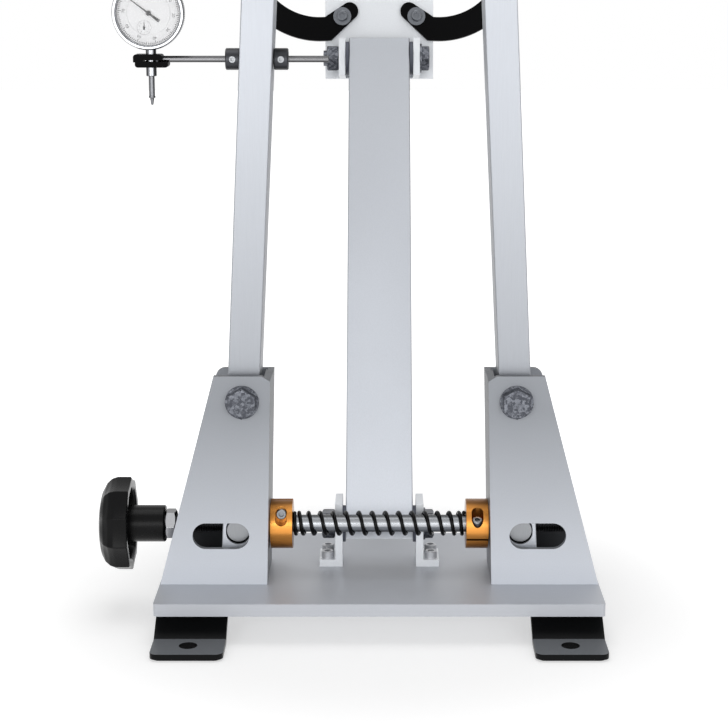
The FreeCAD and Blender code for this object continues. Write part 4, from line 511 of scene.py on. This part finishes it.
# The speckled finishes: a screen colour, a roughness, and what else sets each apart.
SPECKLED = {
    "plate_aluminium": ((184, 187, 193), 0.44, dict(
        scale=1100, contrast=0.14, stretch=(0.12, 1, 1), metallic=0.35)),
    # Painted shade: darker on faces turned aside from the user, darker towards the top
    # and lighter towards the bottom, and dark on the back wall's face within the tower.
    "tower_aluminium": ((197, 201, 208), 0.42, dict(
        scale=1000, contrast=0.12, metallic=0.12, ior=1.25, edge=0.4,
        painted_light_fades=[(0.05, 0.175, 1.18, 0.63)], painted_inside_shade=(0.01, 0.11, 0.06))),
    # Painted shade: darker on faces turned aside from the user and darker towards the
    # bottom; painted light lifts it again below about 0.1 m, where the tower around it
    # shades it.
    "upright_aluminium": ((198, 202, 209), 0.4, dict(
        scale=1100, contrast=0.13, stretch=ALONG_Z, metallic=0.35, edge=0.65,
        painted_light_fades=[(0.2, 0.55, 0.68, 0.97), (0.085, 0.11, 1.6, 1.0)])),
    # Painted shade on faces turned aside from the user, and painted light and shade:
    # lighter towards the bottom, darker towards the top.
    "post_aluminium": ((200, 204, 211), 0.42, dict(
        scale=1100, contrast=0.13, stretch=ALONG_Z, metallic=0.35, edge=0.5,
        painted_light_fades=[(0.06, 0.44, 1.34, 0.72)])),
    "bracket_aluminium": ((229, 232, 236), 0.38, dict(scale=1000, metallic=0.35)),
    "black_coat": ((5, 5, 6), 0.42, dict(
        scale=700, contrast=0.35, relief=0.04, ior=1.12)),
    # Painted light: near black except on faces turned up or down, which are painted a
    # lighter grey where light from above falls.
    "foot_coat": ((112, 115, 119), 0.36, dict(
        scale=700, contrast=0.2, relief=0.03, ior=1.16, edge=0.03, axis=(0, 0, 1),
        turn_from=(0.9, 0.99))),
    "black_rubber": ((20, 20, 21), 0.75, dict(
        scale=500, contrast=0.3, relief=0.08, ior=1.2)),
    # Painted shade: darker where the surface turns aside from the user.
    "black_oxide": ((60, 61, 65), 0.35, dict(contrast=0.4, metallic=0.8, edge=0.4)),
    "screw_head": ((104, 107, 112), 0.3, dict(contrast=0.3, metallic=0.9)),
    "bright_screw": ((196, 198, 202), 0.35, dict(metallic=0.4)),
    "nut_steel": ((138, 140, 143), 0.32, dict(
        scale=1500, contrast=0.2, stretch=(1, 1, 0.06), metallic=0.9)),
    # Painted reflection and shade for these five steels: bright where they face the user,
    # painted darker as they turn away.
    "ground_steel": ((166, 169, 173), 0.25, dict(
        scale=1500, contrast=0.18, stretch=(1, 0.05, 0.05), metallic=1.0, edge=0.2,
        turn_from=(0.45, 1.0))),
    "turned_steel": ((178, 179, 182), 0.25, dict(
        scale=1500, contrast=0.22, stretch=(1, 0.06, 0.06), metallic=1.0, edge=0.3)),
    "rod_steel": ((120, 120, 122), 0.25, dict(
        scale=1500, contrast=0.18, stretch=(1, 0.05, 0.05), metallic=1.0, edge=0.25,
        turn_from=(0.6, 1.0))),
    "plunger_steel": ((116, 117, 120), 0.3, dict(
        scale=1500, contrast=0.18, metallic=1.0, edge=0.3, turn_from=(0.5, 1.0))),
    "case_steel": ((160, 162, 166), 0.25, dict(
        scale=1200, contrast=0.08, metallic=1.0, edge=0.12, turn_from=(0.72, 1.0))),
    "bronze": ((196, 160, 96), 0.32, dict(contrast=0.2, metallic=1.0)),
    "black_nylon": ((16, 16, 18), 0.5, dict(
        scale=600, contrast=0.25, relief=0.03, ior=1.2)),
    "grey_nylon": ((92, 95, 106), 0.5, dict(
        scale=600, contrast=0.2, relief=0.03, ior=1.3)),
    "white_nylon": ((190, 192, 196), 0.5, dict(
        scale=600, contrast=0.15, relief=0.03, ior=1.3)),
    "knob_plastic": ((7, 7, 8), 0.26, dict(
        scale=300, contrast=0.2, shade=0.2, ior=1.22)),
    # Painted highlight and shade: the collars are bright where they face the user and
    # painted darker towards their top and bottom.
    "gold_anodised": ((214, 144, 68), 0.3, dict(
        contrast=0.05, stretch=(0.1, 1, 1), metallic=0.9, edge=0.3,
        turn_from=(0.3, 1.0))),
    "spring_black": ((8, 8, 9), 0.3, dict(
        scale=700, contrast=0.3, relief=0.02, ior=1.22)),
    "thread_black": ((26, 27, 29), 0.3, dict(contrast=0.3, metallic=0.8)),
    # Painted reflection and shade: darker where the surface turns aside from the user.
    "satin_chrome": ((226, 228, 232), 0.2, dict(
        scale=1200, contrast=0.08, metallic=1.0, edge=0.22)),
    "dial_white": ((252, 252, 253), 0.4, dict(
        scale=500, contrast=0.02, relief=0.002, shade=0.02)),
    "dial_ink": ((22, 22, 25), 0.45, dict(scale=500, relief=0.002)),
    "pointer_black": ((14, 14, 16), 0.4, dict(scale=600, contrast=0.2, relief=0.002)),
}
FINISHES = {name: speckled(name, colour, roughness, **more)
            for name, (colour, roughness, more) in SPECKLED.items()}
FINISHES["dipped_steel"] = mottled("dipped_steel", (66, 68, 74), (122, 125, 132),
                                   scale=520, relief=0.03)
FINISHES["crystal"] = clear("crystal")

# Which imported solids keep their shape, the finish each gets, and how far its edges
# are broken, in millimetres.
DRESSED = {
    "plate_aluminium": (0.7, "base_plate"),
    "tower_aluminium": (0.4, "tower_left", "tower_right"),
    "upright_aluminium": (0.25, "upright_left", "upright_right"),
    "post_aluminium": (0.25, "post"),
    "bracket_aluminium": (0.5, "post_bracket_left", "post_bracket_right",
                          "caliper_bracket"),
    "black_coat": (0.5, "caliper_arm_left", "caliper_arm_right", "gauge_clamp"),
    "foot_coat": (0.5, "front_feet", "rear_feet"),
    "black_rubber": (0.2, "foot_pads"),
    "black_oxide": (0.25, "foot_screws", "tower_screws", "rod_collars",
                    "dropout_screws_left", "dropout_screws_right", "clamp_screw"),
    "dipped_steel": (0.4, "pivot_bolts", "pivot_nuts", "post_bolt", "post_nut",
                     "caliper_bolt", "caliper_nut"),
    "screw_head": (0.3, "arm_screws"),
    "bright_screw": (0.3, "post_bracket_screws"),
    "nut_steel": (0.4, "barrel_nut_left", "barrel_nut_right", "collar_screws",
                  "set_screws", "dropout_left", "dropout_right"),
    "turned_steel": (0.3, "jam_nut"),
    "rod_steel": (0.2, "gauge_rod"),
    "bronze": (0.2, "pivot_sleeves", "screw_bushes"),
    "black_nylon": (0.3, "post_plug", "upright_plugs_left", "upright_plugs_right"),
    "grey_nylon": (0.3, "post_washers", "caliper_washers"),
    "white_nylon": (0.3, "pivot_spacers"),
    "gold_anodised": (0.5, "collar_left", "collar_right"),
    "case_steel": (0.3, "gauge_case"),
    "plunger_steel": (0.3, "gauge_plunger"),
    "dial_white": (0.05, "gauge_face", "gauge_scale"),
    "pointer_black": (0.05, "gauge_pointer", "counter_pointer"),
    "crystal": (0.1, "gauge_crystal"),
}


def dress(name, finish, edge):
    """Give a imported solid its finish, and break its edges without touching its mesh:
    merge its loose triangles, join flat ones, bevel, and weight the normals by area."""
    solid = nodes[name]
    solid.data.materials.clear()
    solid.data.materials.append(finish)
    solid.data.polygons.foreach_set("use_smooth", np.ones(len(solid.data.polygons), bool))
    weld = solid.modifiers.new("weld", "WELD")
    weld.merge_threshold = WELD
    flat = solid.modifiers.new("flat", "DECIMATE")
    flat.decimate_type = "DISSOLVE"
    flat.angle_limit = math.radians(FLAT)
    broken = solid.modifiers.new("edges", "BEVEL")
    broken.width = edge * MM
    broken.segments = 2
    broken.limit_method = "ANGLE"
    broken.angle_limit = math.radians(BROKEN)
    broken.use_clamp_overlap = True
    shading = solid.modifiers.new("shading", "WEIGHTED_NORMAL")
    shading.keep_sharp = False
    shading.weight = 60


def dress_solids():
    """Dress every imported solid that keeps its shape."""
    for finish, (edge, *names) in DRESSED.items():
        for name in names:
            dress(name, FINISHES[finish], edge)


# ---------------------------------------------------------------- lead screw

def make_knob():
    """The knob: a profile from the domed face round the rim and through the hollow back
    to the hub's end, turned about the screw.  Ten shallow hollows run round the rim:
    at the angle b from a hollow's middle the rim's radius is
    c cos b - sqrt(v^2 - c^2 sin^2 b), for a hollow of radius v centred c away, and the
    hollows fade inwards."""
    face_x, outside, bore, bore_end = -224.8, 38.2, 7.1, 40
    profile = rounded([
        (0, 0), (19.5, 0.7), (27, 2.4), (33, 5.6), (36.8, 9.8), (outside, 14.2),
        (outside, 24.6), (37.3, 25.3), (31, 25.3), (29, 24.2), (28.2, 16), (26, 14),
        (17, 13.6), (14.8, 15.4), (14.8, 51.6), (13.8, 52.6), (bore, 52.6),
        (bore, bore_end)], radius=1.3, steps=6)
    lobes, valley, centre, first = 10, 98.0, 133.7, math.radians(31.6)
    steps, lobe = 400, TAU / lobes
    off = (full_turn(steps) - first) % lobe - lobe / 2
    rim = centre * np.cos(off) - np.sqrt(valley ** 2 - (centre * np.sin(off)) ** 2)
    radius, height = profile.T
    hollow_from, hollow_over, hollow_curve = 27.0, 8.0, 1.2
    weight = np.clip((radius - hollow_from) / hollow_over, 0, 1) ** hollow_curve
    dip = outside - np.minimum(rim, outside)
    wave = radius[:, None] - weight[:, None] * dip[None, :]
    end = turned([(bore, bore_end), (0, bore_end)], steps)
    points, faces = joined([rings(wave, height, steps), end])
    place = at(along_x(points), face_x, SCREW_Y, SCREW_Z)
    knob = new_piece("knob_shell", place, faces, "screw", FINISHES["knob_plastic"],
                     sharp=13)
    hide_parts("knob")


def make_screw():
    """The lead screw: its radius at x and angle a is R - d t(x / p - h a / 2 pi), where
    t is a trapezium wave, p the pitch and h the hand, and d falls to nothing in the
    plain middle under the spring and at the ends.  The thread has a darker finish."""
    radius, depth, pitch, steps, slices = 6.98, 1.05, 2.0, 72, 12
    left, right, plain, thread_end = -212.0, 156.0, 93.0, 162.0
    left_chamfer, right_chamfer, taper = 1.5, 1.4, 2.0
    x = np.unique(np.round(np.concatenate([
        [left, left + left_chamfer],
        -np.arange(plain, thread_end + 1, pitch / slices), [-plain, plain],
        np.arange(plain, right - right_chamfer, pitch / slices),
        [right - right_chamfer, right]]), 4))
    hand = np.sign(x)[:, None]
    phase = x[:, None] / pitch + hand * full_turn(steps)[None, :] / TAU
    wave = trapezium(phase, slope=5, flat=0.75)
    away = np.abs(x)
    zone = (np.clip((away - plain) / taper, 0, 1)
            * np.clip((thread_end - away) / taper, 0, 1))
    end = (np.clip((x - left) / left_chamfer, 0, 1)
           * np.clip((right - x) / right_chamfer, 0, 1))
    size = radius - depth * wave * zone[:, None] - (right_chamfer * (1 - end))[:, None]
    points, faces = rings(size, x, steps)
    points, faces = points[:, [2, 0, 1]], capped(faces, steps)
    screw = new_piece("threaded_screw", at(points, 0, SCREW_Y, SCREW_Z), faces, "screw",
                      FINISHES["ground_steel"], sharp=25)
    screw.data.materials.append(FINISHES["thread_black"])
    middle = np.zeros(len(screw.data.polygons) * 3)
    screw.data.polygons.foreach_get("center", middle)
    threaded = np.abs(middle[0::3]) > (plain - 0.5) * MM
    screw.data.polygons.foreach_set("material_index", threaded.astype(np.int32))
    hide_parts("lead_screw")


def make_spring():
    """The coil spring: a tube along x(t), -r sin(2 pi t), r cos(2 pi t).  From each end
    x grows by p t - q s (1 - exp(-t / s)), so its closed end turns open smoothly."""
    half, wire, coil, sides = 69.7, 1.45, 8.75, 16
    pitch, closing, settle, turns, points_a_turn = 10.75, 10.3125, 1.2, 15, 60
    t = np.linspace(0, turns, turns * points_a_turn)
    near = np.minimum(t, turns - t)
    run = pitch * near - closing * settle * (1 - np.exp(-near / settle))
    x = np.where(t < turns / 2, -half + wire + run, half - wire - run)
    line = np.stack([x, -coil * np.sin(TAU * t), coil * np.cos(TAU * t)], axis=-1)
    points, faces = tube(line, wire, sides)
    faces = capped(faces, sides)
    spring = new_piece("coil_spring", at(points, 0, SCREW_Y, SCREW_Z), faces, "screw",
                       FINISHES["spring_black"], sharp=50)
    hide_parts("screw_spring")


# ---------------------------------------------------------------- dial gauge

def make_bezel():
    """The bezel: a ring profile turned about the dial, its outside milled into 120
    teeth, where the radius is R + d (cos(120 a) - 1)."""
    profile = rounded([
        (24.0, 9.1), (25.6, 9.1), (25.6, 6.5), (27.2, 6.5), (27.6, 7.2), (27.6, 12.6),
        (26.6, 15.4), (25.2, 15.5), (24.4, 14.2), (24.0, 13.8), (24.0, 9.1)],
        radius=0.35, steps=4)
    steps, teeth, tooth = 720, 120, 0.12
    milled_from, milled_to, blend = 27.0, 13.0, 0.6
    radius, height = profile.T
    weight = (np.clip((radius - milled_from) / blend, 0, 1)
              * np.clip((milled_to - height) / blend, 0, 1))
    cuts = np.cos(teeth * full_turn(steps)) - 1
    wave = radius[:, None] + tooth * weight[:, None] * cuts[None, :]
    points, faces = rings(wave, height, steps)
    place = at(facing_user(points), *DIAL)
    bezel = new_piece("milled_bezel", place, faces, "bezel", FINISHES["satin_chrome"],
                      sharp=32)
    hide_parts("gauge_bezel")


def bars(angles, inner, outer, width):
    """Printed strokes of a dial, from the inner to the outer radius at each angle,
    measured clockwise from the top."""
    angle = np.asarray(angles, float)[:, None]
    inner = np.broadcast_to(np.asarray(inner, float), angle[:, 0].shape)[:, None]
    side = np.array([-1, 1, 1, -1])[None, :] * width / 2
    reach = np.concatenate([inner, inner, np.full_like(inner, outer),
                            np.full_like(inner, outer)], axis=1)
    x = reach * np.sin(angle) + side * np.cos(angle)
    y = reach * np.cos(angle) - side * np.sin(angle)
    low = np.stack([x, y, np.full_like(x, PRINT_FRONT)], axis=-1)
    high = low + np.array([0, 0, INK])
    points = np.concatenate([low, high], axis=1).reshape(-1, 3)
    block = np.array([[0, 1, 2, 3], [7, 6, 5, 4], [0, 4, 5, 1],
                      [1, 5, 6, 2], [2, 6, 7, 3], [3, 7, 4, 0]])
    faces = (block[None] + 8 * np.arange(len(angle))[:, None, None]).reshape(-1, 4)
    return points, faces


def figure(text, size, x, y, turn=0.0):
    """A line of plain figures, centred, made a mesh and turned clockwise."""
    curve = bpy.data.curves.new("figure", "FONT")
    curve.body = text
    curve.size = size
    curve.extrude = INK / 2
    curve.align_x = "CENTER"
    curve.align_y = "CENTER"
    curve.resolution_u = 3
    holder = bpy.data.objects.new("figure", curve)
    bpy.context.scene.collection.objects.link(holder)
    bpy.context.view_layer.update()
    mesh = bpy.data.meshes.new_from_object(holder.evaluated_get(
        bpy.context.evaluated_depsgraph_get()))
    points = np.zeros(len(mesh.vertices) * 3)
    mesh.vertices.foreach_get("co", points)
    points = points.reshape(-1, 3)
    faces = [list(face.vertices) for face in mesh.polygons]
    bpy.data.objects.remove(holder)
    bpy.data.curves.remove(curve)
    bpy.data.meshes.remove(mesh)
    c, s = math.cos(turn), math.sin(turn)
    spun = points @ np.array([[c, -s, 0], [s, c, 0], [0, 0, 1]])
    return at(spun, x, y, PRINT_FRONT + INK / 2), faces


def figures(labels, size, ring, first=0.0, upright=False):
    """Figures spaced evenly round a ring, clockwise from the first's angle, each turned
    with the ring or left upright."""
    shapes = []
    for count, label in enumerate(labels):
        turn = count * TAU / len(labels) + first
        x, y = ring * math.sin(turn), ring * math.cos(turn)
        shapes.append(figure(label, size, x, y, 0.0 if upright else turn))
    return shapes


def make_print():
    """The strokes and figures of the scale, which turn with the bezel, and of the turn
    counter, which stay."""
    stroke = np.arange(100)
    long_from, middle_from, short_from, outer = 20.9, 21.6, 22.1, 23.3
    inner = np.where(stroke % 10 == 0, long_from,
                     np.where(stroke % 5 == 0, middle_from, short_from))
    tens = [str(count * 10) for count in range(10)]
    strokes = bars(stroke * TAU / 100 + SCALE_TURN, inner, outer, width=0.42)
    points, faces = joined([strokes]
                           + figures(tens, size=3.1, ring=18.9, first=SCALE_TURN))
    new_piece("scale_print", at(facing_user(points), *DIAL), faces, "bezel",
              FINISHES["dial_ink"])
    ring, edge = 5.3, 5.42
    low, high = PRINT_FRONT, PRINT_FRONT + INK
    rim = turned([(ring, low), (edge, low), (edge, high), (ring, high), (ring, low)],
                 steps=64)
    ones = [str(count) for count in range(10)]
    strokes = bars(np.arange(10) * TAU / 10, 4.7, ring, width=0.14)
    points, faces = joined([strokes, rim]
                           + figures(ones, size=1.15, ring=3.7, upright=True))
    points = facing_user(at(points, COUNTER_X, COUNTER_Z, 0))
    new_piece("counter_print", at(points, *DIAL), faces, "gauge",
              FINISHES["dial_ink"])


# ---------------------------------------------------------------- rim pins

def make_pin(name, side):
    """A rim pin: rings with a knurled head, where the radius is
    R - d |sin(n a + k h)| |sin(n a - k h)|, a thread along the shank, where it is
    r - e t(h / p - a / 2 pi), and a cone at the tip."""
    low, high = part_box("rim_pin_" + name)
    tip = (low.x if side > 0 else high.x) / MM
    middle_y, middle_z = (low.y + high.y) / 2 / MM, (low.z + high.z) / 2 / MM
    length = (high.x - low.x) / MM
    head, head_radius, chamfer, steps = 7.0, 6.5, 0.9, 144
    cone, pitch, shank_radius, tip_radius = 5.0, 1.0, 2.98, 1.0
    knurls, slant, knurl_depth, thread_depth, edge_slope = 18, 2.4, 0.45, 0.35, 0.8
    height = np.unique(np.concatenate([
        [0, 0.001, 0.5], np.linspace(chamfer, head - chamfer, 28),
        [head - 0.5, head, head + 0.001], np.arange(head, length - cone, pitch / 8),
        [length - cone, length - 0.4, length]]))
    h, a = height[:, None], full_turn(steps)[None, :]
    knurl = (np.abs(np.sin(knurls * a + slant * h))
             * np.abs(np.sin(knurls * a - slant * h)))
    thread = trapezium(h / pitch - a / TAU, slope=4, flat=0.5)
    taper = np.clip((length - h) / cone, 0, 1)
    shank = np.where(h > length - cone,
                     tip_radius + (shank_radius - tip_radius) * taper,
                     shank_radius - thread_depth * thread)
    edges = np.clip(chamfer - h, 0, chamfer) + np.clip(h - head + chamfer, 0, chamfer)
    rim = head_radius - knurl_depth * knurl - edge_slope * edges
    points, faces = rings(np.where(h <= head, rim, shank), height, steps)
    faces = capped(faces, steps)
    placed = along_x(points)
    placed[:, 0] = tip + (length - placed[:, 0]) * side
    pin = new_piece("knurled_pin_" + name, at(placed, 0, middle_y, middle_z), faces,
                    "pin_" + name, FINISHES["turned_steel"], sharp=40)
    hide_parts("rim_pin_" + name)


# ---------------------------------------------------------------- stage

def seen_white(tree, camera_share=None):
    """How white a ray sees the backdrop: fully from a mirror or through glass, and from
    the camera too, or by a share where one is given."""
    path = node(tree, "ShaderNodeLightPath")
    seen = path.outputs["Is Camera Ray"]
    if camera_share is not None:
        seen = calc(tree, "MULTIPLY", seen, camera_share)
    for ray in ("Is Glossy Ray", "Is Transmission Ray"):
        seen = calc(tree, "MAXIMUM", seen, path.outputs[ray])
    return seen


def white_ground(name):
    """A matt white that a mirror or glass also sees lit from within, and a camera too,
    less so round the stand, where it keeps the shadow."""
    base, near, far, near_glow, far_glow = 0.6, 0.16, 0.5, 0.5, 1.0
    ground = bpy.data.materials.new(name)
    ground.use_nodes = True
    tree = ground.node_tree
    shader = tree.nodes["Principled BSDF"]
    shader.inputs["Base Color"].default_value = (base, base, base, 1)
    shader.inputs["Roughness"].default_value = 0.9
    shader.inputs["Specular IOR Level"].default_value = 0.1
    shader.inputs["Emission Color"].default_value = (1, 1, 1, 1)
    place = node(tree, "ShaderNodeTexCoord")
    away = node(tree, "ShaderNodeVectorMath", {0: place.outputs["Object"]},
                operation="LENGTH").outputs["Value"]
    glow = node(tree, "ShaderNodeMapRange", {
        "Value": away, "From Min": near, "From Max": far, "To Min": near_glow,
        "To Max": far_glow}, interpolation_type="SMOOTHSTEP").outputs[0]
    tree.links.new(seen_white(tree, glow), shader.inputs["Emission Strength"])
    return ground


def make_floor():
    """A white floor, wide enough for every view."""
    mesh = bpy.data.meshes.new("floor")
    half = 6.0
    corners = [(-half, -half, 0), (half, -half, 0), (half, half, 0), (-half, half, 0)]
    mesh.from_pydata(corners, [], [(0, 1, 2, 3)])
    floor = bpy.data.objects.new("floor", mesh)
    bpy.context.scene.collection.objects.link(floor)
    mesh.materials.append(white_ground("floor_white"))


def make_world():
    """White behind everything, and a plain soft light all round."""
    world = bpy.data.worlds.new("studio")
    bpy.context.scene.world = world
    world.use_nodes = True
    tree = world.node_tree
    back = tree.nodes["Background"]
    back.inputs["Color"].default_value = (1, 1, 1, 1)
    strength = calc(tree, "MULTIPLY_ADD", seen_white(tree), 1 - AMBIENT, AMBIENT)
    tree.links.new(strength, back.inputs["Strength"])


def make_lamp(name, place, width, power):
    """A soft round lamp aimed at the stand."""
    light = bpy.data.lights.new(name, "AREA")
    light.shape = "DISK"
    light.size = width
    light.energy = power
    lamp = bpy.data.objects.new(name, light)
    bpy.context.scene.collection.objects.link(lamp)
    lamp.location = place
    aim = np.array(LAMP_TARGET, float) - np.array(place, float)
    tilt = math.acos(-aim[2] / np.linalg.norm(aim))
    lamp.rotation_euler = (tilt, 0, math.atan2(aim[1], aim[0]) - math.pi / 2)


def make_camera():
    """The camera in front of the stand, looking down a little."""
    view = bpy.data.cameras.new("camera")
    view.sensor_width = 36.0
    view.lens = FOCAL_LENGTH / FRAME_WIDTH * view.sensor_width
    view.shift_x = SHIFT / FRAME_WIDTH
    view.clip_start = 0.05
    camera = bpy.data.objects.new("camera", view)
    bpy.context.scene.collection.objects.link(camera)
    camera.location = CAMERA_PLACE
    camera.rotation_euler = (math.radians(90 - CAMERA_TILT), 0, 0)
    bpy.context.scene.camera = camera


dress_solids()
make_knob()
make_screw()
make_spring()
make_bezel()
make_print()
make_pin("left", -1)
make_pin("right", 1)
make_floor()
make_world()
for lamp_name, (lamp_place, lamp_width, lamp_power) in LAMPS.items():
    make_lamp(lamp_name, lamp_place, lamp_width, lamp_power)
make_camera()
bpy.context.scene.view_settings.view_transform = "Standard"
